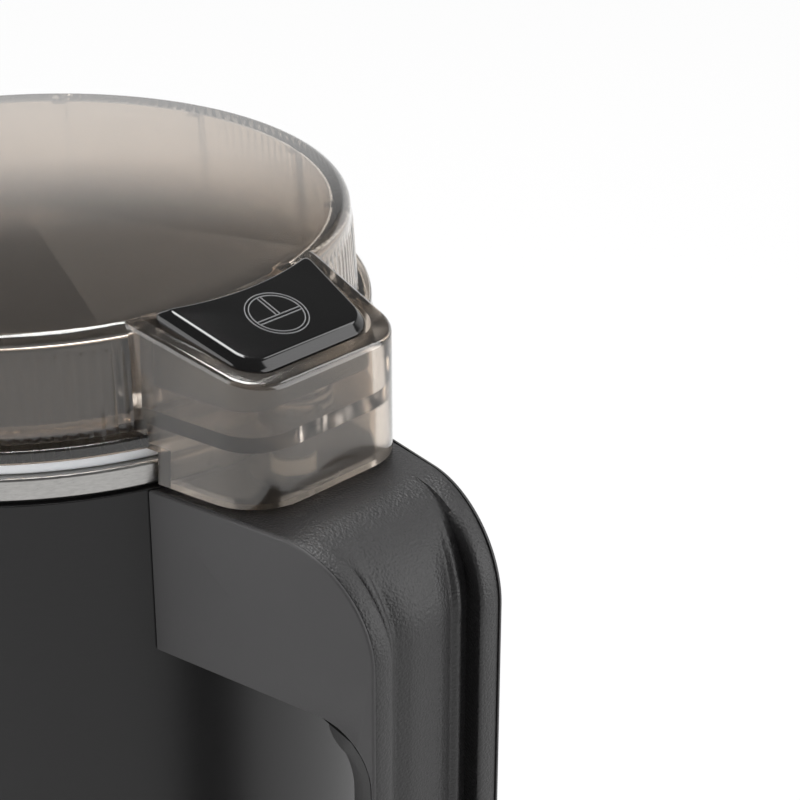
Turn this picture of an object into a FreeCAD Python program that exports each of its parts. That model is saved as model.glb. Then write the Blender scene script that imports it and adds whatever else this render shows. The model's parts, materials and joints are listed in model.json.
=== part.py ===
import FreeCAD
import Part
import Sketcher
import math
import os
from FreeCAD import Placement, Rotation, Vector

# Electric spice grinder: a steel-sleeved motor base with a side handle, a lift-out steel
# cup with a blade, and a smoky clear lid whose corner boss holds the push button.
# Millimetres, +Z up, origin on the table at the middle of the foot, handle towards +X.

SIZES = {
    # Foot and base cover
    "foot_margin": 6.45,
    "foot_width": 10.0,
    "foot_height": 4.0,
    "foot_embed": 2.2,
    "base_floor": 2.4,
    "base_height": 16.1,
    "base_edge_radius": 1.5,
    "base_wall": 2.25,
    "spigot_height": 6.0,
    "spigot_gap": 0.15,
    "vent_length": 14.0,
    "vent_width": 3.0,
    "vent_start_r": 10.0,
    "vent_count": 12,
    "base_post_r": 4.0,
    "base_post_margin": 1.0,
    "base_screw_r": 1.5,
    "base_screw_head_r": 3.0,
    "base_screw_head": 2.0,
    "base_sink_play": 0.2,
    "gland_bore_r": 2.8,
    "gland_neck_r": 4.0,
    "gland_flange_r": 5.2,
    "gland_flange": 1.6,
    "gland_rise": 10.2,
    # Sleeve and housing
    "sleeve_wall": 0.8,
    "housing_gap": 0.25,
    "housing_wall": 3.0,
    "deck_thickness": 3.0,
    "deck_hole_r": 8.0,
    "collar_height": 10.7,
    "collar_wall": 3.8,
    "seat_proud": 0.5,
    # Motor
    "motor_rise": 19.6,
    "bracket_plate": 3.0,
    "bracket_r": 38.5,
    "air_hole_r": 5.0,
    "air_hole_place": 13.8,
    "hub_r": 11.5,
    "hub_lip": 1.0,
    "hub_lip_r": 5.0,
    "bearing_r": 9.5,
    "bearing_length": 6.0,
    "shaft_r": 3.0,
    "shaft_play": 0.03,
    "commutator_rise": 4.0,
    "commutator_length": 9.0,
    "commutator_r": 10.0,
    "segment_count": 12,
    "segment_gap": 0.6,
    "segment_gap_depth": 1.0,
    "winding_room": 6.0,
    "winding_height": 4.8,
    "winding_r": 14.5,
    "winding_edge_radius": 1.9,
    "core_length": 30.0,
    "core_half_width": 27.0,
    "core_corner_radius": 5.0,
    "armature_r": 16.8,
    "air_gap": 0.5,
    "slot_count": 12,
    "slot_width": 2.4,
    "slot_root_r": 10.0,
    "slot_wire_depth": 1.0,
    "slot_wire_overhang": 1.0,
    "coil_leg_x": 18.5,
    "coil_leg_width": 3.5,
    "coil_leg_y": 4.0,
    "coil_leg_depth": 8.0,
    "coil_turn_y": 15.8,
    "coil_turn_depth": 3.7,
    "coil_overhang": 5.0,
    "coil_clearance": 0.1,
    "fan_rise": 6.6,
    "fan_height": 3.6,
    "fan_r": 22.0,
    "fan_hub_r": 7.0,
    "fan_plate": 1.0,
    "fan_blade": 1.2,
    "fan_blade_count": 9,
    "fan_clearance": 1.8,
    "motor_screw_place": 23.7,
    "motor_screw_r": 1.9,
    "motor_screw_head_r": 3.4,
    "motor_screw_head": 2.5,
    "spacer_r": 2.9,
    "brush_width": 5.0,
    "brush_length": 10.0,
    "brush_gap": 0.3,
    "brush_wall": 1.9,
    "holder_length": 14.0,
    "holder_start_x": 12.0,
    "grommet_height": 5.0,
    "grommet_r": 5.0,
    "mount_circle_r": 31.0,
    "mount_screw_r": 1.5,
    "mount_screw_head_r": 3.2,
    "mount_screw_head": 2.0,
    "mount_boss_height": 3.0,
    "mount_boss_roof": 1.0,
    "mount_boss_r": 4.0,
    # Coupling between motor and blade
    "coupling_gap": 0.6,
    "coupling_r": 11.0,
    "coupling_disc": 2.4,
    "driven_disc": 2.0,
    "tooth_height": 3.0,
    "tooth_inner_r": 5.0,
    "tooth_outer_r": 10.5,
    "tooth_angle": 43.0,
    "tooth_count": 4,
    "driven_hub_r": 4.6,
    "face_gap": 0.3,
    # Cup and blade
    "cup_r": 43.8,
    "cup_wall": 0.8,
    "cup_depth": 59.1,
    "cup_floor_radius": 8.0,
    "cup_play": 0.8,
    "rim_height": 3.2,
    "rim_inset": 0.17,
    "rim_edge_radius": 0.4,
    "plug_web": 2.6,
    "plug_r": 20.0,
    "plug_wall": 7.5,
    "plug_lift": 2.2,
    "bush_r": 5.5,
    "bush_flange_r": 8.0,
    "bush_flange": 1.6,
    "seal_r": 6.5,
    "seal_height": 2.0,
    "blade_rise": 1.4,
    "blade_thickness": 1.6,
    "blade_hub_r": 6.0,
    "blade_flat_r": 27.0,
    "blade_tip_length": 9.0,
    "blade_root_width": 12.0,
    "blade_tip_width": 7.0,
    "blade_tip_angle": 22.0,
    "blade_bend_depth": 0.5,
    "washer_r": 5.5,
    "nut_r": 5.5,
    "nut_height": 4.0,
    "nut_dome": 2.0,
    "nut_dome_base_r": 4.7,
    "nut_dome_top_r": 2.2,
    # Lid
    "lid_seal_height": 1.7,
    "lid_seal_width": 2.6,
    "lid_height": 16.2,
    "lid_flange": 1.9,
    "lid_flange_width": 2.07,
    "lid_flange_inset": 0.34,
    "lid_draft": 3.5,
    "lid_edge_radius": 1.4,
    "lid_wall": 2.5,
    "lid_plate": 2.4,
    "spigot_wall": 2.0,
    "spigot_drop": 4.3,
    "spigot_play": 0.4,
    "lug_count": 12,
    "lug_width": 2.4,
    "lug_depth": 1.2,
    "lug_height": 10.5,
    "lid_inner_radius": 3.0,
    # Lid boss and button
    "boss_root_half_width": 16.0,
    "boss_root_inset": 2.5,
    "boss_root_depth": 5.0,
    "boss_length": 19.3,
    "boss_taper": 9.6,
    "boss_draft": 2.3,
    "boss_corner_radius": 5.4,
    "boss_foot_corner_radius": 8.5,
    "boss_wall": 2.2,
    "boss_rim_slope": 11.6,
    "boss_drop": 20.7,
    "boss_rim_clearance": 0.9,
    "shelf_drop": 11.6,
    "shelf_thickness": 2.0,
    "well_inset": 0.25,
    "button_gap": 0.45,
    "button_end_gap": 0.8,
    "button_float": 0.8,
    "button_rise": 1.4,
    "button_slope": 16.7,
    "button_corner_radius": 4.2,
    "button_travel": 2.2,
    "button_cavity_r": 5.6,
    "button_cavity_height": 3.0,
    "stem_r": 2.5,
    "stem_play": 0.06,
    "stem_end_gap": 0.3,
    "clip_r": 4.2,
    "clip_thickness": 0.8,
    "button_spring_r": 4.4,
    "button_spring_wire": 0.35,
    "button_spring_turns": 4.0,
    # Handle
    "handle_drop": 0.1,
    "handle_root_half_width": 16.24,
    "handle_taper": 8.25,
    "handle_reach": 32.05,
    "handle_root_depth": 10.0,
    "handle_corner_radius": 14.2,
    "bracket_height": 23.6,
    "grip_length": 80.7,
    "foot_bracket_height": 22.0,
    "opening_corner_radius": 8.0,
    "liner_depth": 8.7,
    "liner_flare": 9.1,
    "liner_swell": 1.5,
    "liner_flare_steps": 6,
    "cover_thickness": 3.6,
    "cover_lip": 0.8,
    "cover_lip_inset": 0.45,
    "cover_inset": 1.2,
    "cover_seam": 0.05,
    "pad_start": 3.0,
    "pad_half_width": 5.8,
    "pad_groove": 2.1,
    "pad_recess": 2.1,
    "pad_groove_depth": 3.0,
    "frame_wall": 2.4,
    "core_bar_half_width": 7.5,
    "core_bar_thickness": 2.8,
    "handle_screw_y": 11.0,
    "handle_screw_rise": 9.0,
    "handle_screw_r": 1.5,
    "handle_screw_head_r": 2.8,
    "handle_screw_head": 1.6,
    "handle_screw_length": 10.0,
    "handle_pad_half_height": 4.0,
    "handle_pad_length": 7.5,
    "lead_slot_half_width": 4.5,
    "lead_slot_height": 8.0,
    # Switch in the handle
    "plunger_reach": 5.55,
    "plunger_r": 2.5,
    "plunger_rise": 2.7,
    "plunger_play": 0.06,
    "guide_r": 4.5,
    "guide_flange_r": 5.5,
    "guide_flange": 0.6,
    "guide_length": 7.1,
    "plunger_collar_r": 4.2,
    "plunger_collar": 1.3,
    "switch_height": 8.0,
    "switch_end_wall": 0.55,
    "switch_depth": 6.4,
    "switch_button_rise": 2.8,
    "switch_button_size": 3.0,
    "switch_button_well": 3.4,
    "switch_screw_pitch": 9.5,
    "switch_screw_r": 1.1,
    "switch_screw_rise": 2.4,
    "switch_screw_head_r": 2.0,
    "switch_screw_head": 1.0,
    "switch_bracket": 2.4,
    "switch_bracket_margin": 1.6,
    # General clearances
    "seam": 0.05,
    "touch_gap": 0.3,
}

# How far a cutting block reaches past the face it cuts
PAST = 1.0


class Size:
    """A length or angle that knows its value and its expression in the sheet."""

    def __init__(self, value, text):
        self.value = value
        self.text = text

    def __add__(self, other):
        other = as_size(other)
        return Size(self.value + other.value, f"({self.text} + {other.text})")

    def __sub__(self, other):
        other = as_size(other)
        return Size(self.value - other.value, f"({self.text} - {other.text})")

    def __mul__(self, other):
        other = as_size(other)
        return Size(self.value * other.value, f"({self.text} * {other.text})")

    def __truediv__(self, other):
        other = as_size(other)
        return Size(self.value / other.value, f"({self.text} / {other.text})")

    def __neg__(self):
        return Size(-self.value, f"(0 - {self.text})")

    __radd__ = __add__
    __rmul__ = __mul__

    def __rsub__(self, other):
        return as_size(other) - self


def as_size(value):
    if isinstance(value, Size):
        return value
    return Size(float(value), repr(float(value)))


def root(size):
    return Size(math.sqrt(size.value), f"sqrt({size.text})")


def tangent(angle):
    return Size(math.tan(math.radians(angle.value)), f"tan({angle.text})")


doc = FreeCAD.newDocument("SpiceGrinder")
sheet = doc.addObject("Spreadsheet::Sheet", "Sizes")
for row, (alias, value) in enumerate(SIZES.items(), start=1):
    sheet.set(f"A{row}", alias)
    sheet.set(f"B{row}", str(value))
    sheet.setAlias(f"B{row}", alias)
doc.recompute()


class Sheet:
    """Reads the sheet's sizes by name, as in S.cup_r."""

    def __getattr__(self, alias):
        return Size(float(sheet.get(alias)), f"Sizes.{alias}")


S = Sheet()
NODES = []


def node(label, item):
    item.Label = label
    NODES.append(item)
    return item


def bind(item, path, value):
    """Binds one property to the sheet, or sets it where it is a plain number."""
    if isinstance(value, Size):
        item.setExpression(path, value.text)
    elif path.startswith("Placement") or path.startswith("AttachmentOffset"):
        item.setExpression(path, repr(float(value)))
    else:
        setattr(item, path, value)


def place(item, x=0, y=0, z=0, axis=None, angle=0):
    if axis is not None:
        item.Placement = Placement(Vector(0, 0, 0), Rotation(axis, angle))
    bind(item, "Placement.Base.x", x)
    bind(item, "Placement.Base.y", y)
    bind(item, "Placement.Base.z", z)
    return item


Z_AXIS = Vector(0, 0, 1)
X_TO_Z = (Vector(0, 1, 0), 90)


def cylinder(name, radius, low, high, x=0, y=0):
    item = doc.addObject("Part::Cylinder", name)
    bind(item, "Radius", as_size(radius))
    bind(item, "Height", as_size(high) - low)
    return place(item, x, y, low)


def rod_along_x(name, radius, start_x, end_x, y, z):
    """A cylinder that runs towards +X."""
    item = doc.addObject("Part::Cylinder", name)
    bind(item, "Radius", as_size(radius))
    bind(item, "Height", as_size(end_x) - start_x)
    return place(item, start_x, y, z, *X_TO_Z)


def box(name, x, y, z):
    """A box between pairs of lowest and highest x, y and z."""
    item = doc.addObject("Part::Box", name)
    for side, (low, high) in zip(("Length", "Width", "Height"), (x, y, z)):
        bind(item, side, as_size(high) - low)
    return place(item, x[0], y[0], z[0])


def fuse(name, *pieces):
    item = doc.addObject("Part::MultiFuse", name)
    item.Shapes = list(pieces)
    item.Refine = True
    return item


def cut(name, base, *tools):
    tool = tools[0] if len(tools) == 1 else fuse(name + "_tools", *tools)
    item = doc.addObject("Part::Cut", name)
    item.Base = base
    item.Tool = tool
    item.Refine = True
    return item


def common(name, first, second):
    item = doc.addObject("Part::Common", name)
    item.Base = first
    item.Tool = second
    item.Refine = True
    return item


def group(name, *pieces):
    """Separate solids that share one node."""
    item = doc.addObject("Part::Compound", name)
    item.Links = list(pieces)
    return item


def tube(name, outer, inner, low, high, x=0, y=0):
    return cut(name, cylinder(name + "_outer", outer, low, high, x, y),
               cylinder(name + "_bore", inner, low, high, x, y))


def around(count, start=0.0):
    return [start + 360.0 * step / count for step in range(int(round(count)))]


def radial_box(name, inner, outer, width, low, high, angle):
    """A box that runs outwards from the axis at one angle."""
    turn = math.radians(angle)
    item = doc.addObject("Part::Box", name)
    bind(item, "Length", as_size(outer) - inner)
    bind(item, "Width", as_size(width))
    bind(item, "Height", as_size(high) - low)
    half = as_size(width) / 2
    start_x = as_size(inner) * math.cos(turn) + half * math.sin(turn)
    start_y = as_size(inner) * math.sin(turn) - half * math.cos(turn)
    return place(item, start_x, start_y, low, Z_AXIS, angle)


def sector(name, inner, outer, low, high, middle, spread):
    """A wedge of a ring, as wide as spread degrees."""
    wedge = cylinder(name + "_wedge", outer, low, high)
    wedge.Placement = Placement(Vector(0, 0, 0), Rotation(Z_AXIS, middle - spread.value / 2))
    bind(wedge, "Placement.Base.z", low)
    bind(wedge, "Angle", spread)
    return cut(name, wedge, cylinder(name + "_core", inner, low, high))


def pin_point(sketch, element, position, corner):
    for kind, distance in zip(("DistanceX", "DistanceY"), corner):
        distance = as_size(distance)
        constraint = Sketcher.Constraint(kind, -1, 1, element, position, distance.value)
        index = sketch.addConstraint(constraint)
        if "Sizes." in distance.text:
            sketch.setExpression(f"Constraints[{index}]", distance.text)


def outline(sketch, corners):
    """Draws a closed outline; a third value on a corner rounds it."""
    count = len(corners)
    points = [Vector(as_size(corner[0]).value, as_size(corner[1]).value, 0) for corner in corners]
    ends = []
    for index, corner in enumerate(corners):
        before = (points[index - 1] - points[index]).normalize()
        after = (points[(index + 1) % count] - points[index]).normalize()
        reach = 0.0
        if len(corner) > 2:
            reach = as_size(corner[2]).value / math.tan(before.getAngle(after) / 2)
        ends.append((points[index] + before * reach, points[index] + after * reach))
    lines = []
    for index in range(count):
        segment = Part.LineSegment(ends[index][1], ends[(index + 1) % count][0])
        lines.append(sketch.addGeometry(segment, False))
    for index, corner in enumerate(corners):
        arriving, leaving = lines[index - 1], lines[index]
        if len(corner) == 2:
            sketch.addConstraint(Sketcher.Constraint("Coincident", arriving, 2, leaving, 1))
            pin_point(sketch, leaving, 1, corner)
            continue
        radius = as_size(corner[2])
        first, last = ends[index]
        inward = (first + last) * 0.5 - points[index]
        reach = math.hypot(radius.value, (first - points[index]).Length)
        centre = points[index] + inward.normalize() * reach
        middle = centre + (points[index] - centre).normalize() * radius.value
        turns_left = (points[index] - first).cross(last - points[index]).z > 0
        arc_ends = (first, last) if turns_left else (last, first)
        arc = sketch.addGeometry(Part.Arc(arc_ends[0], middle, arc_ends[1]), False)
        entry, leave = (1, 2) if turns_left else (2, 1)
        sketch.addConstraint(Sketcher.Constraint("Tangent", arriving, 2, arc, entry))
        sketch.addConstraint(Sketcher.Constraint("Tangent", leaving, 1, arc, leave))
        rounding = sketch.addConstraint(Sketcher.Constraint("Radius", arc, radius.value))
        if "Sizes." in radius.text:
            sketch.setExpression(f"Constraints[{rounding}]", radius.text)
        point = sketch.addGeometry(Part.Point(points[index]), True)
        pin_point(sketch, point, 1, corner)
        sketch.addConstraint(Sketcher.Constraint("PointOnObject", point, 1, arriving))
        sketch.addConstraint(Sketcher.Constraint("PointOnObject", point, 1, leaving))


def sketch_on(body, name, plane, corners):
    sketch = body.newObject("Sketcher::SketchObject", name)
    flat = [feature for feature in body.Origin.OriginFeatures if feature.Role == plane][0]
    sketch.AttachmentSupport = [(flat, "")]
    sketch.MapMode = "FlatFace"
    outline(sketch, corners)
    return sketch


def sketched_body(name, plane, corners):
    body = doc.addObject("PartDesign::Body", name)
    return body, sketch_on(body, name + "_outline", plane, corners)


def turned(name, corners):
    """A body turned about Z from an outline of (radius, height) corners."""
    body, sketch = sketched_body(name, "XZ_Plane", corners)
    turn = body.newObject("PartDesign::Revolution", name + "_turn")
    turn.Profile = sketch
    turn.ReferenceAxis = (sketch, ["V_Axis"])
    turn.Angle = 360
    body.Tip = turn
    return body


def plate(name, corners, low, high):
    """A body padded upwards from an outline of (x, y) corners."""
    body, sketch = sketched_body(name, "XY_Plane", corners)
    bind(sketch, "AttachmentOffset.Base.z", as_size(low))
    pad = body.newObject("PartDesign::Pad", name + "_pad")
    pad.Profile = sketch
    bind(pad, "Length", as_size(high) - low)
    body.Tip = pad
    return body


def side_plate(name, corners, half_width):
    """A body padded both ways in Y from an outline of (x, z) corners."""
    body, sketch = sketched_body(name, "XZ_Plane", corners)
    bind(sketch, "AttachmentOffset.Base.z", -as_size(half_width))
    pad = body.newObject("PartDesign::Pad", name + "_pad")
    pad.Profile = sketch
    bind(pad, "Length", as_size(half_width) * 2)
    body.Tip = pad
    return body


def solid(name, shape):
    """A piece whose shape is set directly from the sheet's values."""
    item = doc.addObject("Part::Feature", name)
    item.Shape = shape
    return item


# Heights, from the table upwards
base_bottom = S.foot_height - S.foot_embed
floor_top = S.foot_height + S.base_floor
base_top = base_bottom + S.base_height
sleeve_bottom = base_top + S.seam * 2
spigot_top = base_top + S.spigot_height
lower_bracket_z = floor_top + S.motor_rise
lower_bracket_top = lower_bracket_z + S.bracket_plate
commutator_z = lower_bracket_top + S.commutator_rise
commutator_top = commutator_z + S.commutator_length
core_z = commutator_top + S.winding_room
core_top = core_z + S.core_length
fan_z = core_top + S.fan_rise
fan_top = fan_z + S.fan_height
upper_bracket_z = fan_top + S.fan_clearance
upper_bracket_top = upper_bracket_z + S.bracket_plate
deck_z = upper_bracket_top + S.grommet_height
deck_top = deck_z + S.deck_thickness
mount_screw_top = deck_top + S.mount_boss_height - S.mount_boss_roof
coupling_z = deck_top + S.coupling_gap
coupling_top = coupling_z + S.coupling_disc
teeth_top = coupling_top + S.tooth_height
driven_z = teeth_top + S.face_gap
driven_top = driven_z + S.driven_disc
plug_web_z = driven_top + S.face_gap
cup_bottom = plug_web_z + S.plug_web
cup_floor = cup_bottom + S.cup_wall
rim_top = cup_floor + S.cup_depth
rim_bottom = rim_top - S.rim_height
sleeve_top = rim_bottom - S.seat_proud
lid_flange_z = rim_top + S.lid_seal_height
lid_flange_top = lid_flange_z + S.lid_flange
lid_top = lid_flange_z + S.lid_height
handle_top = sleeve_top - S.handle_drop
opening_top = handle_top - S.bracket_height
opening_bottom = opening_top - S.grip_length
handle_bottom = opening_bottom - S.foot_bracket_height
boss_bottom = lid_top - S.boss_drop
shelf_top = lid_top - S.shelf_drop
shelf_bottom = shelf_top - S.shelf_thickness
button_bottom = shelf_top + S.button_travel + S.button_float
cavity_top = button_bottom + S.button_cavity_height
plunger_top = handle_top + S.plunger_rise
stem_bottom = plunger_top + S.stem_end_gap

# Radii and reaches
cup_inner_r = S.cup_r - S.cup_wall
seat_inner_r = S.cup_r + S.cup_play
housing_r = seat_inner_r + S.collar_wall
housing_inner_r = housing_r - S.housing_wall
sleeve_inner_r = housing_r + S.housing_gap
sleeve_r = sleeve_inner_r + S.sleeve_wall
spigot_r = sleeve_inner_r - S.spigot_gap
spigot_inner_r = spigot_r - S.base_wall
foot_outer_r = sleeve_r - S.foot_margin
foot_inner_r = foot_outer_r - S.foot_width
base_post_circle_r = foot_inner_r - S.base_post_r - S.base_post_margin
rim_r = sleeve_r - S.rim_inset
lid_flange_r = rim_r - S.lid_flange_inset
skirt_r = lid_flange_r - S.lid_flange_width
lid_r = skirt_r - (lid_top - lid_flange_top) * tangent(S.lid_draft)
lid_spigot_r = cup_inner_r - S.spigot_play
boss_root_x = lid_r - S.boss_root_inset
handle_x = sleeve_r + S.handle_reach
handle_start_x = sleeve_r - S.handle_root_depth
boss_start_x = boss_root_x - S.boss_root_depth
plunger_x = sleeve_r + S.plunger_reach
handle_screw_levels = (opening_top + S.handle_screw_rise, opening_bottom - S.foot_bracket_height / 2)


def foot_and_base():
    ring = turned("FootRing", [
        (foot_inner_r, 0),
        (foot_outer_r, 0),
        (foot_outer_r, S.foot_height),
        (foot_inner_r, S.foot_height),
    ])
    node("foot_ring", ring)
    groove_inner = foot_inner_r - S.seam
    groove_outer = foot_outer_r + S.seam
    shell = turned("BaseShell", [
        (0, base_bottom),
        (groove_inner, base_bottom),
        (groove_inner, S.foot_height),
        (groove_outer, S.foot_height),
        (groove_outer, base_bottom),
        (sleeve_r, base_bottom, S.base_edge_radius),
        (sleeve_r, base_top),
        (spigot_r, base_top),
        (spigot_r, spigot_top),
        (spigot_inner_r, spigot_top),
        (spigot_inner_r, floor_top),
        (0, floor_top),
    ])
    posts = []
    holes = []
    screws = []
    for index, angle in enumerate(around(4)):
        x = base_post_circle_r * math.cos(math.radians(angle))
        y = base_post_circle_r * math.sin(math.radians(angle))
        posts.append(cylinder(f"BasePost{index}", S.base_post_r, base_bottom, lower_bracket_z, x, y))
        head_top = base_bottom + S.base_screw_head + S.seam
        holes.append(cylinder(f"BaseHole{index}", S.base_screw_r, base_bottom, lower_bracket_z, x, y))
        sink_r = S.base_screw_head_r + S.base_sink_play
        holes.append(cylinder(f"BaseSink{index}", sink_r, base_bottom, head_top, x, y))
        head = cylinder(f"BaseScrewHead{index}", S.base_screw_head_r, base_bottom + S.seam, head_top, x, y)
        shank = cylinder(f"BaseScrewShank{index}", S.base_screw_r, head_top, lower_bracket_top, x, y)
        screws.append(fuse(f"BaseScrew{index}", head, shank))
    for index, angle in enumerate(around(S.vent_count.value, 180 / S.vent_count.value)):
        end = S.vent_start_r + S.vent_length
        slot = radial_box(f"Vent{index}", S.vent_start_r, end, S.vent_width, base_bottom, floor_top, angle)
        holes.append(slot)
    gland_z = base_bottom + S.gland_rise
    neck_end = -spigot_inner_r + S.gland_flange
    flange_end = -sleeve_r - S.gland_flange
    holes.append(rod_along_x("GlandHole", S.gland_neck_r, flange_end, neck_end, 0, gland_z))
    node("base_cover", cut("BaseCover", fuse("BaseBlank", shell, *posts), *holes))
    node("base_screws", group("BaseScrews", *screws))
    neck = rod_along_x("GlandNeck", S.gland_neck_r, -sleeve_r, neck_end, 0, gland_z)
    flange = rod_along_x("GlandFlange", S.gland_flange_r, flange_end, -sleeve_r, 0, gland_z)
    lock = rod_along_x("GlandLock", S.gland_flange_r, -spigot_inner_r + S.touch_gap, neck_end, 0, gland_z)
    bore = rod_along_x("GlandBore", S.gland_bore_r, flange_end, neck_end, 0, gland_z)
    node("cord_gland", cut("CordGland", fuse("GlandBlank", neck, flange, lock), bore))


def sleeve_and_housing():
    slot_low = opening_top + S.frame_wall + S.touch_gap
    slot_high = slot_low + S.lead_slot_height
    screw_holes = []
    screws = []
    inner_wall_x = root(housing_inner_r * housing_inner_r - S.handle_screw_y * S.handle_screw_y)
    head_x = inner_wall_x + S.touch_gap
    shank_x = head_x + S.handle_screw_head
    tip_x = sleeve_r + S.handle_screw_length / 2
    levels = handle_screw_levels
    for row, level in enumerate(levels):
        for side in (-1, 1):
            name = f"{row}{'ab'[side > 0]}"
            y = S.handle_screw_y * side
            head = rod_along_x(f"GripScrewHead{name}", S.handle_screw_head_r, head_x, shank_x, y, level)
            shank = rod_along_x(f"GripScrewShank{name}", S.handle_screw_r, shank_x, tip_x, y, level)
            screws.append(fuse(f"GripScrew{name}", head, shank))
            start = head_x - S.housing_wall
            sink = rod_along_x(f"GripSink{name}", S.handle_screw_head_r, start, shank_x, y, level)
            hole = rod_along_x(f"GripHole{name}", S.handle_screw_r, start, tip_x, y, level)
            screw_holes += [sink, hole]
    node("handle_screws", group("HandleScrews", *screws))
    half_slot = S.lead_slot_half_width
    slot_x = (0, sleeve_r + PAST)
    slot = box("LeadSlot", slot_x, (-half_slot, half_slot), (slot_low, slot_high))
    half_height = S.lead_slot_height / 2
    lower_slot = box("LowerLeadSlot", slot_x, (-half_slot, half_slot),
                     (levels[1] - half_height, levels[1] + half_height))
    openings = fuse("SleeveOpenings", slot, *screw_holes)
    sleeve = tube("SleeveTube", sleeve_r, sleeve_inner_r, sleeve_bottom, sleeve_top)
    node("body_sleeve", cut("BodySleeve", sleeve, openings))
    wall_top = rim_bottom - S.collar_height
    housing = turned("HousingShell", [
        (S.deck_hole_r, deck_z),
        (housing_inner_r, deck_z),
        (housing_inner_r, spigot_top + S.touch_gap),
        (housing_r, spigot_top + S.touch_gap),
        (housing_r, wall_top),
        (housing_inner_r, wall_top),
        (housing_inner_r, deck_top),
        (S.deck_hole_r, deck_top),
    ])
    bosses = []
    boss_holes = []
    for index, angle in enumerate(around(4)):
        x = S.mount_circle_r * math.cos(math.radians(angle))
        y = S.mount_circle_r * math.sin(math.radians(angle))
        boss_top = deck_top + S.mount_boss_height
        bosses.append(cylinder(f"MountBoss{index}", S.mount_boss_r, deck_z, boss_top, x, y))
        boss_holes.append(cylinder(f"MountBossHole{index}", S.mount_screw_r, deck_z, mount_screw_top, x, y))
    blank = fuse("HousingBlank", housing, *bosses)
    node("inner_housing", cut("InnerHousing", blank, openings, lower_slot, *boss_holes))
    collar = turned("BowlCollar", [
        (seat_inner_r, wall_top),
        (housing_r, wall_top),
        (housing_r, rim_bottom),
        (seat_inner_r, rim_bottom),
    ])
    node("bowl_collar", collar)


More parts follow.
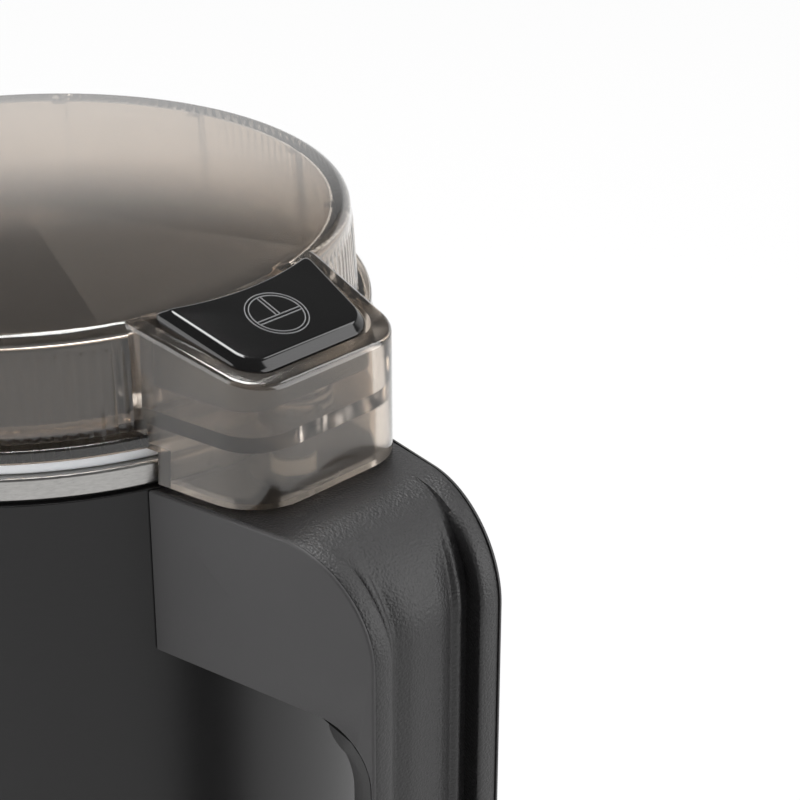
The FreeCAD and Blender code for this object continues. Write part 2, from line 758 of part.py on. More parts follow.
def motor_frame():
    hub_low = lower_bracket_z - S.bracket_plate - S.hub_lip
    seat_low = hub_low + S.hub_lip
    lower_hub_top = seat_low + S.bearing_length + S.touch_gap
    lower = turned("LowerBracketDisc", [
        (S.hub_lip_r, hub_low),
        (S.hub_r, hub_low),
        (S.hub_r, lower_bracket_z),
        (S.bracket_r, lower_bracket_z),
        (S.bracket_r, lower_bracket_top),
        (S.hub_r, lower_bracket_top),
        (S.hub_r, lower_hub_top),
        (S.bearing_r, lower_hub_top),
        (S.bearing_r, seat_low),
        (S.hub_lip_r, seat_low),
    ])
    upper_hub_low = upper_bracket_z - S.fan_clearance / 2
    upper_seat_top = upper_hub_low + S.touch_gap + S.bearing_length
    upper_hub_top = upper_seat_top + S.hub_lip
    upper = turned("UpperBracketDisc", [
        (S.bearing_r, upper_hub_low),
        (S.hub_r, upper_hub_low),
        (S.hub_r, upper_bracket_z),
        (S.bracket_r, upper_bracket_z),
        (S.bracket_r, upper_bracket_top),
        (S.hub_r, upper_bracket_top),
        (S.hub_r, upper_hub_top),
        (S.hub_lip_r, upper_hub_top),
        (S.hub_lip_r, upper_seat_top),
        (S.bearing_r, upper_seat_top),
    ])
    lower_plate = (lower_bracket_z, lower_bracket_top)
    upper_plate = (upper_bracket_z, upper_bracket_top)
    core_span = (core_z, core_top)
    lower_holes = []
    upper_holes = []
    core_holes = []
    spacers = []
    screws = []
    mount_screws = []
    grommets = []
    for index, (side_x, side_y) in enumerate(((1, 1), (-1, 1), (-1, -1), (1, -1))):
        x = S.motor_screw_place * side_x
        y = S.motor_screw_place * side_y
        head_low = lower_bracket_z - S.motor_screw_head
        screw_r = S.motor_screw_r
        spacer_r = S.spacer_r
        lower_holes.append(cylinder(f"LowerScrewHole{index}", screw_r, *lower_plate, x, y))
        upper_holes.append(cylinder(f"UpperScrewHole{index}", screw_r, *upper_plate, x, y))
        core_holes.append(cylinder(f"CoreScrewHole{index}", screw_r, *core_span, x, y))
        spacers.append(tube(f"LowerSpacer{index}", spacer_r, screw_r, lower_bracket_top, core_z, x, y))
        spacers.append(tube(f"UpperSpacer{index}", spacer_r, screw_r, core_top, upper_bracket_z, x, y))
        head = cylinder(f"MotorScrewHead{index}", S.motor_screw_head_r, head_low, lower_bracket_z, x, y)
        shank = cylinder(f"MotorScrewShank{index}", screw_r, head_low, upper_bracket_top, x, y)
        screws.append(fuse(f"MotorScrew{index}", head, shank))
        air_x = S.air_hole_place * side_x
        air_y = S.air_hole_place * side_y
        lower_holes.append(cylinder(f"LowerAirHole{index}", S.air_hole_r, *lower_plate, air_x, air_y))
        upper_holes.append(cylinder(f"UpperAirHole{index}", S.air_hole_r, *upper_plate, air_x, air_y))
    for index, angle in enumerate(around(4)):
        x = S.mount_circle_r * math.cos(math.radians(angle))
        y = S.mount_circle_r * math.sin(math.radians(angle))
        base_x = base_post_circle_r * math.cos(math.radians(angle))
        base_y = base_post_circle_r * math.sin(math.radians(angle))
        mount_r = S.mount_screw_r
        lower_holes.append(cylinder(f"BaseThread{index}", S.base_screw_r, *lower_plate, base_x, base_y))
        upper_holes.append(cylinder(f"MountHole{index}", mount_r, *upper_plate, x, y))
        grommets.append(tube(f"Grommet{index}", S.grommet_r, mount_r, upper_bracket_top, deck_z, x, y))
        head_low = upper_bracket_z - S.mount_screw_head
        head = cylinder(f"MountScrewHead{index}", S.mount_screw_head_r, head_low, upper_bracket_z, x, y)
        shank = cylinder(f"MountScrewShank{index}", mount_r, head_low, mount_screw_top, x, y)
        mount_screws.append(fuse(f"MountScrew{index}", head, shank))
    node("motor_lower_bracket", cut("LowerBracket", lower, *lower_holes))
    node("motor_upper_bracket", cut("UpperBracket", upper, *upper_holes))
    node("motor_spacers", group("MotorSpacers", *spacers))
    node("motor_screws", group("MotorScrews", *screws))
    node("motor_mount_screws", group("MountScrews", *mount_screws))
    node("motor_grommets", group("Grommets", *grommets))
    bearing_bore = S.shaft_r + S.shaft_play
    for name, low in (("lower", seat_low), ("upper", upper_seat_top - S.bearing_length)):
        ring = tube(name.title() + "Bearing", S.bearing_r, bearing_bore, low, low + S.bearing_length)
        node(name + "_bearing", ring)

    half = S.core_half_width
    corner = S.core_corner_radius
    stack = plate("CoreStack", [
        (-half, -half, corner),
        (half, -half, corner),
        (half, half, corner),
        (-half, half, corner),
    ], core_z, core_top)
    bore_r = S.armature_r + S.air_gap
    core_holes.append(cylinder("CoreBore", bore_r, core_z, core_top))
    gap = S.coil_clearance
    leg_x = (S.coil_leg_x, S.coil_leg_x + S.coil_leg_width)
    leg_y = (S.coil_leg_y, S.coil_leg_y + S.coil_leg_depth)
    turn_y = (S.coil_turn_y, S.coil_turn_y + S.coil_turn_depth)
    low = core_z - S.coil_overhang
    high = core_top + S.coil_overhang
    coils = []
    for side_y in (1, -1):
        pieces = []
        for side_x in (1, -1):
            name = f"{'ab'[side_x > 0]}{'ab'[side_y > 0]}"
            x_span = ordered(leg_x, side_x)
            y_span = ordered(leg_y, side_y)
            reach = ordered((leg_y[0], turn_y[1]), side_y)
            core_holes.append(box("CoilWindow" + name, (x_span[0] - gap, x_span[1] + gap),
                                  (y_span[0] - gap, y_span[1] + gap), (core_z, core_top)))
            pieces.append(box("CoilLeg" + name, x_span, y_span, (low, high)))
            pieces.append(box("CoilTop" + name, x_span, reach, (core_top + gap, high)))
            pieces.append(box("CoilFoot" + name, x_span, reach, (low, core_z - gap)))
        across = (-leg_x[1], leg_x[1])
        y_span = ordered(turn_y, side_y)
        side = "ab"[side_y > 0]
        pieces.append(box("CoilTurnTop" + side, across, y_span, (core_top + gap, high)))
        pieces.append(box("CoilTurnFoot" + side, across, y_span, (low, core_z - gap)))
        coils.append(fuse("Coil" + side, *pieces))
    node("motor_field_core", cut("FieldCore", stack, *core_holes))
    node("field_coils", group("FieldCoils", *coils))


def ordered(span, side):
    """The same span on the positive or the negative side."""
    return span if side > 0 else (-as_size(span[1]), -as_size(span[0]))


def brushes():
    middle = commutator_z + S.commutator_length / 2
    half = S.brush_width / 2
    room = half + S.seam
    holders = []
    carbons = []
    for side in (1, -1):
        name = "ab"[side > 0]
        shell_x = ordered((S.holder_start_x, S.holder_start_x + S.holder_length), side)
        outer = half + S.brush_wall
        shell = box("HolderShell" + name, shell_x, (-outer, outer), (lower_bracket_top, middle + outer))
        bore = box("HolderBore" + name, shell_x, (-room, room), (middle - room, middle + room))
        holders.append(cut("Holder" + name, shell, bore))
        start = S.commutator_r + S.brush_gap
        brush_x = ordered((start, start + S.brush_length), side)
        carbons.append(box("Brush" + name, brush_x, (-half, half), (middle - half, middle + half)))
    node("brush_holders", group("BrushHolders", *holders))
    node("carbon_brushes", group("CarbonBrushes", *carbons))


def armature():
    shaft_low = lower_bracket_z - S.bracket_plate + S.touch_gap
    node("motor_shaft", cylinder("MotorShaft", S.shaft_r, shaft_low, coupling_top))
    slots = []
    bars = []
    for index, angle in enumerate(around(S.slot_count.value)):
        slots.append(radial_box(f"CoreSlot{index}", S.slot_root_r, S.armature_r + PAST, S.slot_width,
                                core_z, core_top, angle))
        bars.append(radial_box(f"SlotWire{index}", S.slot_root_r + S.coil_clearance,
                               S.armature_r - S.slot_wire_depth, S.slot_width - S.coil_clearance * 2,
                               core_z - S.slot_wire_overhang, core_top + S.slot_wire_overhang, angle))
    bore = cylinder("ArmatureBore", S.shaft_r, core_z, core_top)
    stack = cylinder("ArmatureStack", S.armature_r, core_z, core_top)
    node("armature_core", cut("ArmatureCore", stack, bore, *slots))
    rings = []
    for name, low, high in (("Foot", core_z - S.winding_height, core_z),
                            ("Top", core_top, core_top + S.winding_height)):
        edge = S.winding_edge_radius
        rings.append(turned("Winding" + name, [
            (S.shaft_r, low),
            (S.winding_r, low, edge),
            (S.winding_r, high),
            (S.shaft_r, high),
        ] if name == "Foot" else [
            (S.shaft_r, low),
            (S.winding_r, low),
            (S.winding_r, high, edge),
            (S.shaft_r, high),
        ]))
    node("armature_windings", fuse("ArmatureWindings", *rings, *bars))
    grooves = []
    for index, angle in enumerate(around(S.segment_count.value, 180 / S.segment_count.value)):
        grooves.append(radial_box(f"SegmentGap{index}", S.commutator_r - S.segment_gap_depth,
                                  S.commutator_r + PAST, S.segment_gap, commutator_z, commutator_top, angle))
    copper = tube("CommutatorBlank", S.commutator_r, S.shaft_r, commutator_z, commutator_top)
    node("commutator", cut("Commutator", copper, *grooves))
    hub = cylinder("FanHub", S.fan_hub_r, fan_z, fan_top)
    disc = cylinder("FanDisc", S.fan_r, fan_z, fan_z + S.fan_plate)
    root_r = S.fan_hub_r - PAST
    tip_r = S.fan_r - S.seam
    blades = [
        radial_box(f"FanBlade{index}", root_r, tip_r, S.fan_blade, fan_z, fan_top, angle)
        for index, angle in enumerate(around(S.fan_blade_count.value))
    ]
    fan_bore = cylinder("FanBore", S.shaft_r, fan_z, fan_top)
    node("cooling_fan", cut("CoolingFan", fuse("FanBlank", hub, disc, *blades), fan_bore))


def couplings():
    """Toothed discs that mesh when the cup sits in its seat."""
    driver = cylinder("DriverDisc", S.coupling_r, coupling_z, coupling_top)
    driven = cylinder("DrivenDisc", S.coupling_r, driven_z, driven_top)
    hub = cylinder("DrivenHub", S.driven_hub_r, coupling_top + S.face_gap * 2, driven_z)
    step = 360.0 / S.tooth_count.value
    up = []
    down = []
    for index, angle in enumerate(around(S.tooth_count.value)):
        up.append(sector(f"DriverTooth{index}", S.tooth_inner_r, S.tooth_outer_r, coupling_top, teeth_top,
                         angle, S.tooth_angle))
        down.append(sector(f"DrivenTooth{index}", S.tooth_inner_r, S.tooth_outer_r,
                           coupling_top + S.face_gap, driven_z, angle + step / 2, S.tooth_angle))
    driver_bore = cylinder("DriverBore", S.shaft_r, coupling_z, coupling_top)
    node("drive_coupling", cut("DriveCoupling", fuse("DriverBlank", driver, *up), driver_bore))
    driven_bore = cylinder("DrivenBore", S.shaft_r, coupling_top, driven_top)
    node("driven_coupling", cut("DrivenCoupling", fuse("DrivenBlank", driven, hub, *down), driven_bore))


def cup():
    wall_round = S.cup_floor_radius
    cup_shell = turned("CupShell", [
        (S.bush_r, cup_bottom),
        (S.cup_r, cup_bottom, wall_round),
        (S.cup_r, rim_top),
        (cup_inner_r, rim_top),
        (cup_inner_r, cup_floor, wall_round - S.cup_wall),
        (S.bush_r, cup_floor),
    ])
    node("steel_cup", cup_shell)
    node("cup_rim", turned("CupRim", [
        (S.cup_r, rim_bottom),
        (rim_r, rim_bottom, S.rim_edge_radius),
        (rim_r, rim_top, S.rim_edge_radius),
        (S.cup_r, rim_top),
    ]))
    plug_inner_r = S.plug_r - S.plug_wall
    node("cup_base_plug", turned("CupPlug", [
        (S.bush_r, plug_web_z),
        (plug_inner_r, plug_web_z),
        (plug_inner_r, deck_top + S.plug_lift),
        (S.plug_r, deck_top + S.plug_lift),
        (S.plug_r, cup_bottom),
        (S.bush_r, cup_bottom),
    ]))
    flange_top = cup_floor + S.bush_flange
    bore = S.shaft_r + S.shaft_play
    node("blade_bush", turned("BladeBush", [
        (bore, plug_web_z),
        (S.bush_r, plug_web_z),
        (S.bush_r, cup_floor),
        (S.bush_flange_r, cup_floor),
        (S.bush_flange_r, flange_top),
        (bore, flange_top),
    ]))
    seal_bore = S.shaft_r + S.shaft_play * 2
    node("shaft_seal", tube("ShaftSeal", S.seal_r, seal_bore, flange_top, flange_top + S.seal_height))


def blade():
    seal_top = cup_floor + S.bush_flange + S.seal_height
    blade_z = seal_top + S.blade_rise
    blade_top = blade_z + S.blade_thickness
    shaft_low = coupling_top + S.face_gap * 2
    node("blade_shaft", cylinder("BladeShaft", S.shaft_r, shaft_low, blade_top + S.nut_height))
    node("blade_washer", tube("BladeWasher", S.washer_r, S.shaft_r, seal_top + S.touch_gap, blade_z))
    half_root = S.blade_root_width / 2
    half_tip = S.blade_tip_width / 2
    flat = S.blade_flat_r
    strip = plate("BladeStrip", [
        (flat, -half_tip),
        (flat, half_tip),
        (0, half_root),
        (-flat, half_tip),
        (-flat, -half_tip),
        (0, -half_root),
    ], blade_z, blade_top)
    tips = []
    tilt = Rotation(Vector(0, 1, 0), -S.blade_tip_angle.value)
    root_x = flat - S.blade_bend_depth
    for side, turn in ((1, 0), (-1, 180)):
        tip = doc.addObject("Part::Box", f"BladeTip{turn}")
        bind(tip, "Length", S.blade_tip_length)
        bind(tip, "Width", S.blade_tip_width)
        bind(tip, "Height", S.blade_thickness)
        tip.Placement = Placement(Vector(0, 0, 0), Rotation(Z_AXIS, turn).multiply(tilt))
        tips.append(place(tip, root_x * side, -half_tip * side, blade_z))
    bore = cylinder("BladeBore", S.shaft_r, blade_z, blade_top)
    hub = cylinder("BladeHub", S.blade_hub_r, blade_z, blade_top)
    node("blade", cut("Blade", fuse("BladeBlank", strip, hub, *tips), bore))
    nut_top = blade_top + S.nut_height
    hexagon = []
    for angle in around(6):
        turn = math.radians(angle)
        hexagon.append((S.nut_r * math.cos(turn), S.nut_r * math.sin(turn)))
    body = plate("NutBody", hexagon, blade_top, nut_top)
    dome = doc.addObject("Part::Cone", "NutDome")
    bind(dome, "Radius1", S.nut_dome_base_r)
    bind(dome, "Radius2", S.nut_dome_top_r)
    bind(dome, "Height", S.nut_dome)
    place(dome, 0, 0, nut_top)
    nut_bore = cylinder("NutBore", S.shaft_r, blade_top, nut_top)
    node("blade_nut", cut("BladeNut", fuse("NutBlank", body, dome), nut_bore))


def boss_half_width(x, inset):
    """Half the width of the lid's boss at one reach, less a wall or a gap."""
    return S.boss_root_half_width - (as_size(x) - boss_root_x) * tangent(S.boss_taper) - inset


def boss_plan(name, inset, end_inset, radius, low, high):
    """The boss seen from above: two tapering sides and a rounded outer end."""
    start = boss_start_x
    end = boss_root_x + S.boss_length - end_inset
    return plate(name, [
        (start, -boss_half_width(start, inset)),
        (end, -boss_half_width(end, inset), radius),
        (end, boss_half_width(end, inset), radius),
        (start, boss_half_width(start, inset)),
    ], low, high)


def boss_block():
    """The boss's outside, drafted on three sides and rounder towards its foot, under a sloping rim."""
    body = doc.addObject("PartDesign::Body", "BossOuter")
    start = boss_start_x
    sections = []
    for level, radius in ((boss_bottom, S.boss_foot_corner_radius), (lid_top, S.boss_corner_radius)):
        spread = (lid_top - level) * tangent(S.boss_draft)
        end = boss_root_x + S.boss_length + spread
        section = sketch_on(body, f"BossSection{len(sections)}", "XY_Plane", [
            (start, -boss_half_width(start, -spread)),
            (end, -boss_half_width(end, -spread), radius),
            (end, boss_half_width(end, -spread), radius),
            (start, boss_half_width(start, -spread)),
        ])
        bind(section, "AttachmentOffset.Base.z", level)
        sections.append(section)
    loft = body.newObject("PartDesign::AdditiveLoft", "BossLoft")
    loft.Profile = sections[0]
    loft.Sections = [(sections[1], "")]
    loft.Ruled = True
    body.Tip = loft
    far_x = boss_root_x + S.boss_length + S.boss_foot_corner_radius
    far_z = lid_top - (far_x - boss_root_x) * tangent(S.boss_rim_slope)
    below_rim = side_plate("BossSides", [
        (boss_start_x, boss_bottom),
        (far_x, boss_bottom),
        (far_x, far_z),
        (boss_root_x, lid_top),
        (boss_start_x, lid_top),
    ], S.boss_root_half_width * 2)
    return common("BossBlock", below_rim, body)


def lid():
    spigot_bottom = lid_flange_z - S.spigot_drop
    spigot_bore_r = lid_spigot_r - S.spigot_wall
    plate_bottom = lid_top - S.lid_plate
    inner_r = lid_r - S.lid_wall
    shell = turned("LidShell", [
        (0, lid_top),
        (lid_r, lid_top, S.lid_edge_radius),
        (skirt_r, lid_flange_top),
        (lid_flange_r, lid_flange_top),
        (lid_flange_r, lid_flange_z),
        (lid_spigot_r, lid_flange_z),
        (lid_spigot_r, spigot_bottom),
        (spigot_bore_r, spigot_bottom),
        (spigot_bore_r, lid_flange_top),
        (skirt_r - S.lid_wall, lid_flange_top),
        (inner_r, plate_bottom, S.lid_inner_radius),
        (0, plate_bottom),
    ])
    lugs = [
        radial_box(f"LidLug{index}", inner_r - S.lug_depth, inner_r + S.lid_wall / 2, S.lug_width,
                   plate_bottom - S.lug_height, plate_bottom, angle)
        for index, angle in enumerate(around(S.lug_count.value))
    ]
    inner_cylinder = cylinder("BossInner", inner_r, boss_bottom, lid_top - S.lid_plate)
    ring_room = cylinder("BossRingRoom", sleeve_r + S.boss_rim_clearance, boss_bottom, lid_flange_z)
    boss = cut("Boss", boss_block(), inner_cylinder, ring_room)
    well_r = lid_r - S.well_inset
    well_round = S.boss_corner_radius - S.boss_wall / 2
    well = cut("ButtonWell", boss_plan("WellPlan", S.boss_wall, S.boss_wall, well_round, shelf_top, lid_top),
               cylinder("WellInner", well_r, shelf_top, lid_top))
    chamber = cut("BossChamber",
                  boss_plan("ChamberPlan", S.boss_wall, S.boss_wall, well_round, boss_bottom, shelf_bottom),
                  cylinder("ChamberInner", skirt_r, boss_bottom, shelf_bottom))
    stem_hole = cylinder("StemHole", S.stem_r + S.stem_play, shelf_bottom, shelf_top, plunger_x)
    node("lid_shell", cut("Lid", fuse("LidBlank", shell, boss, *lugs), well, chamber, stem_hole))
    seal_inner_r = lid_spigot_r + S.spigot_play * 2
    seal_outer_r = seal_inner_r + S.lid_seal_width
    node("lid_seal", tube("LidSeal", seal_outer_r, seal_inner_r, rim_top, lid_flange_z))


def button():
    gap = S.boss_wall + S.button_gap
    end_gap = S.boss_wall + S.button_end_gap
    inner_r = lid_r - S.well_inset + S.button_gap
    end_x = boss_root_x + S.boss_length - end_gap
    inner_z = lid_top + S.button_rise
    slope = tangent(S.button_slope)
    sides = side_plate("ButtonSides", [
        (boss_start_x, button_bottom),
        (end_x, button_bottom),
        (end_x, inner_z - (end_x - inner_r) * slope),
        (boss_start_x, inner_z + (inner_r - boss_start_x) * slope),
    ], S.boss_root_half_width * 2)
    top = inner_z + S.lid_height
    plan = boss_plan("ButtonPlan", gap, end_gap, S.button_corner_radius, button_bottom, top)
    inner_cylinder = cylinder("ButtonInner", inner_r, button_bottom, top)
    cavity = cylinder("ButtonCavity", S.button_cavity_r, button_bottom, cavity_top, plunger_x)
    node("button_cap", cut("ButtonCap", common("ButtonBlock", sides, plan), inner_cylinder, cavity))
    node("button_stem", cylinder("ButtonStem", S.stem_r, stem_bottom, cavity_top, plunger_x))
    clip_top = shelf_bottom - S.face_gap
    node("stem_clip", tube("StemClip", S.clip_r, S.stem_r, clip_top - S.clip_thickness, clip_top, plunger_x))


def button_spring():
    """One unbroken coil of wire round the stem, from the shelf to the button."""
    wire_r = S.button_spring_wire
    low = shelf_top + wire_r + S.seam
    height = cavity_top - S.seam - wire_r - low
    coil = doc.addObject("Part::Helix", "SpringCoil")
    bind(coil, "Pitch", height / S.button_spring_turns)
    bind(coil, "Height", height)
    bind(coil, "Radius", S.button_spring_r)
    wire = doc.addObject("Part::Circle", "SpringWire")
    bind(wire, "Radius", wire_r)
    wire.Placement = Placement(Vector(0, 0, 0), Rotation(Vector(1, 0, 0), 90))
    bind(wire, "Placement.Base.x", S.button_spring_r)
    spring = doc.addObject("Part::Sweep", "ButtonSpring")
    spring.Sections = [wire]
    spring.Spine = (coil, [])
    spring.Solid = True
    spring.Frenet = True
    node("button_spring", place(spring, plunger_x, 0, low))
    least_gap = height.value / S.button_spring_turns.value - 2 * wire_r.value
    print(f"button spring: least gap between turns {least_gap:.2f} mm")


def handle_half_width(x, inset):
    return S.handle_root_half_width - (as_size(x) - sleeve_r) * tangent(S.handle_taper) - inset


def handle_plan(name, inset):
    """The handle seen from above, tapering outwards, as a tall block."""
    start, end = handle_start_x, handle_x + PAST
    return plate(name, [
        (start, -handle_half_width(start, inset)),
        (end, -handle_half_width(end, inset)),
        (end, handle_half_width(end, inset)),
        (start, handle_half_width(start, inset)),
    ], handle_bottom - PAST, handle_top + PAST)


def handle_side(name, inset):
    """The D of the handle seen from the side, drawn in by an inset."""
    radius = S.handle_corner_radius - inset
    return side_plate(name, [
        (handle_start_x, handle_bottom + inset),
        (handle_x - inset, handle_bottom + inset, radius),
        (handle_x - inset, handle_top - inset, radius),
        (handle_start_x, handle_top - inset),
    ], S.handle_root_half_width * 2)


def finger_gap(name):
    """The opening between the body and the grip."""
    end = handle_x - S.cover_lip
    return side_plate(name, [
        (handle_start_x, opening_bottom),
        (end, opening_bottom, S.opening_corner_radius),
        (end, opening_top, S.opening_corner_radius),
        (handle_start_x, opening_top),
    ], S.handle_root_half_width * 2)


def core_bar(name):
    """The bar that joins the two brackets inside the grip."""
    outer = handle_x - S.cover_thickness - S.cover_seam
    half = S.core_bar_half_width
    return box(name, (outer - S.core_bar_thickness, outer), (-half, half), (opening_bottom, opening_top))


def cover_pocket(name, thickness, inset):
    band = cut(name + "_band", handle_side(name + "_outer", 0), handle_side(name + "_inner", thickness))
    return common(name, band, handle_plan(name + "_plan", inset))


def handle():
    blank = common("HandleBlock", handle_side("HandleOuter", 0), handle_plan("HandlePlan", 0))
    pocket = cover_pocket("CoverPocket", S.cover_thickness + S.cover_seam, S.cover_inset)
    lip_pocket = cover_pocket("LipPocket", S.cover_lip + S.cover_seam, S.cover_lip_inset)
    cavity_end = handle_x - S.handle_corner_radius
    wide = S.handle_root_half_width * 2
    roof = S.cover_thickness + S.cover_seam + S.frame_wall
    spans = {
        "Upper": (opening_top + S.frame_wall, handle_top - roof),
        "Lower": (handle_bottom + roof, opening_bottom - S.frame_wall),
    }
    cavities = []
    pads = []
    for row, (name, span) in enumerate(spans.items()):
        room = box(name + "Room", (handle_start_x, cavity_end), (-wide, wide), span)
        cavities.append(common(name + "Cavity", room, handle_plan(name + "Walls", S.frame_wall)))
        level = handle_screw_levels[row]
        pad_z = (level - S.handle_pad_half_height, level + S.handle_pad_half_height)
        for side in (-1, 1):
            y = S.handle_screw_y * side
            pad_half = S.handle_screw_r * 2
            pad_y = ordered((S.handle_screw_y - pad_half, S.handle_screw_y + pad_half), side)
            pad_x = (sleeve_r - S.touch_gap, sleeve_r + S.handle_pad_length)
            pad = box(f"{name}Pad{row}{'ab'[side > 0]}", pad_x, pad_y, pad_z)
            hole = rod_along_x(f"{name}Thread{row}{'ab'[side > 0]}", S.handle_screw_r, 0,
                               sleeve_r + S.handle_screw_length / 2, y, level)
            pads.append((pad, hole))
    hollow = cut("HandleHollow", blank, finger_gap("FingerGap"), pocket, lip_pocket, *cavities)
    body_room = cylinder("BodyRoom", sleeve_r + S.seam, handle_bottom, handle_top)
    guide_hole = cylinder("FrameGuideHole", S.guide_r + S.seam, handle_top - S.guide_length, handle_top,
                          plunger_x)
    frame = fuse("HandleBlank", hollow, core_bar("CoreBar"), *[pad for pad, hole in pads])
    node("handle_frame", cut("HandleFrame", frame, body_room, guide_hole, *[hole for pad, hole in pads]))

    inner_band = cover_pocket("CoverBand", S.cover_thickness, S.cover_inset + S.cover_seam)
    lip = cover_pocket("CoverLip", S.cover_lip, S.cover_lip_inset + S.cover_seam)
    band = fuse("CoverBlank", inner_band, lip)
    start = handle_x - S.handle_corner_radius + S.pad_start
    groove_half = S.pad_half_width + S.pad_groove
    pad_box = box("PadRoom", (start, handle_x), (-groove_half, groove_half), (handle_bottom, handle_top))
    recess = cut("PadShell", handle_side("RecessOuter", 0), handle_side("RecessInner", S.pad_recess))
    recess = common("PadRecess", recess, pad_box)
    cuts = [recess]
    shell = cut("GrooveShell", handle_side("GrooveOuter", 0), handle_side("GrooveInner", S.pad_groove_depth))
    for side in (-1, 1):
        y_span = ordered((S.pad_half_width, groove_half), side)
        room = box(f"GrooveRoom{'ab'[side > 0]}", (start, handle_x), y_span, (handle_bottom, handle_top))
        cuts.append(common(f"PadGroove{'ab'[side > 0]}", shell, room))
    cuts.append(cylinder("CoverBodyRoom", sleeve_r + S.touch_gap, handle_bottom, handle_top))
    cuts.append(cylinder("CoverGuideHole", S.guide_r + S.seam, opening_top, handle_top, plunger_x))
    node("handle_cover", cut("HandleCover", band, *cuts))


def half_ellipse(centre_x, depth, half_width, z):
    """A wire with a half-elliptic inner side and a straight outer side."""
    pull = 4 * (math.sqrt(2) - 1) / 3
    wires = []
    for side in (-1, 1):
        points = [
            Vector(centre_x, side * half_width, z),
            Vector(centre_x - depth * pull, side * half_width, z),
            Vector(centre_x - depth, side * half_width * pull, z),
            Vector(centre_x - depth, 0, z),
        ]
        curve = Part.BezierCurve()
        curve.setPoles(points if side < 0 else points[::-1])
        wires.append(curve.toShape())
    back = Part.LineSegment(Vector(centre_x, half_width, z), Vector(centre_x, -half_width, z))
    wires.append(back.toShape())
    return Part.Wire(wires)


def handle_liner():
    """The soft inner side of the grip, flaring into the brackets."""
    centre_x = (handle_x - S.cover_lip / 2).value
    depth = S.liner_depth.value
    flare = S.liner_flare.value
    half_width = handle_half_width(handle_x, 0).value
    swell = S.liner_swell.value
    top = opening_top.value
    bottom = opening_bottom.value
    steps = int(S.liner_flare_steps.value)
    high = []
    low = []
    for step in range(steps + 1):
        turn = math.radians(90 * step / steps)
        grow = 1 - math.cos(turn)
        rise = flare * (1 - math.sin(turn))
        section = (centre_x, depth + flare * grow, half_width + swell * grow)
        high.append(half_ellipse(*section, top - rise))
        low.append(half_ellipse(*section, bottom + rise))
    grip = Part.makeLoft([low[0], high[0]], True, True)
    shape = grip.fuse([Part.makeLoft(high, True, False), Part.makeLoft(low, True, False)])
    blank = common("LinerBlock", solid("LinerLoft", shape), handle_plan("LinerPlan", 0))
    fitted = common("LinerFitted", blank, finger_gap("LinerGap"))
    pocket = cover_pocket("LinerCoverPocket", S.cover_thickness + S.cover_seam, S.cover_inset)
    lip_pocket = cover_pocket("LinerLipPocket", S.cover_lip + S.cover_seam, S.cover_lip_inset)
    node("handle_liner", cut("HandleLiner", fitted, pocket, lip_pocket, core_bar("LinerBar")))


def switch():
    guide_bottom = handle_top - S.guide_length
    guide = cylinder("GuideBush", S.guide_r, guide_bottom, handle_top, plunger_x)
    guide_top = handle_top + S.guide_flange
    flange = cylinder("GuideFlange", S.guide_flange_r, handle_top, guide_top, plunger_x)
    bore = cylinder("GuideBore", S.plunger_r + S.plunger_play, guide_bottom, guide_top, plunger_x)
    node("plunger_guide", cut("PlungerGuide", fuse("GuideBlank", guide, flange), bore))
    collar_top = guide_bottom - S.touch_gap
    collar_bottom = collar_top - S.plunger_collar
    rod = cylinder("PlungerRod", S.plunger_r, collar_bottom, plunger_top, plunger_x)
    collar = cylinder("PlungerCollar", S.plunger_collar_r, collar_bottom, collar_top, plunger_x)
    node("switch_plunger", fuse("SwitchPlunger", rod, collar))
    case_top = collar_bottom - S.switch_button_rise
    case_bottom = case_top - S.switch_height
    half = S.switch_button_size / 2
    button_low = case_top - S.switch_button_well + S.button_travel + S.face_gap
    node("switch_button", box("SwitchButton", (plunger_x - half, plunger_x + half), (-half, half),
                              (button_low, collar_bottom)))
    half_depth = S.switch_depth / 2
    half_length = S.switch_screw_pitch / 2 + S.switch_screw_r + S.switch_end_wall
    case_end = plunger_x + half_depth
    case = box("SwitchCase", (plunger_x - half_depth, case_end), (-half_length, half_length),
               (case_bottom, case_top))
    room = half + S.seam * 2
    well = box("SwitchWell", (plunger_x - room, plunger_x + room), (-room, room),
               (case_top - S.switch_button_well, case_top))
    bracket_half = half_length + S.switch_bracket_margin
    bracket_end = case_end + S.switch_bracket
    bracket = box("SwitchPlate", (case_end, bracket_end), (-bracket_half, bracket_half),
                  (opening_top + S.frame_wall, case_top))
    holes = []
    screws = []
    level = case_bottom + S.switch_screw_rise
    case_start = plunger_x - half_depth
    head_x = case_start - S.switch_screw_head
    for side in (-1, 1):
        y = S.switch_screw_pitch / 2 * side
        name = "ab"[side > 0]
        holes.append(rod_along_x("SwitchHole" + name, S.switch_screw_r, case_start, bracket_end, y, level))
        head = rod_along_x("SwitchScrewHead" + name, S.switch_screw_head_r, head_x, case_start, y, level)
        shank = rod_along_x("SwitchScrewShank" + name, S.switch_screw_r, head_x, bracket_end, y, level)
        screws.append(fuse("SwitchScrew" + name, head, shank))
    node("switch_body", cut("SwitchBody", case, well, *holes))
    node("switch_bracket", cut("SwitchBracket", bracket, *holes))
    node("switch_screws", group("SwitchScrews", *screws))


for build in (foot_and_base, sleeve_and_housing, motor_frame, brushes, armature, couplings, cup, blade,
              lid, button, button_spring, handle, handle_liner, switch):
    build()
doc.recompute()

faults = [item.Name for item in doc.Objects if {"Invalid", "Error"} & set(item.State)]
for item in NODES:
    if item.Shape.isNull() or not item.Shape.isValid():
        faults.append(item.Label)
if faults:
    raise RuntimeError("failed pieces: " + ", ".join(faults))

os.makedirs("parts", exist_ok=True)
for item in NODES:
    item.Shape.exportStep(f"parts/{item.Label}.step")
print(len(NODES), "pieces written")
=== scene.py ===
import json
import math

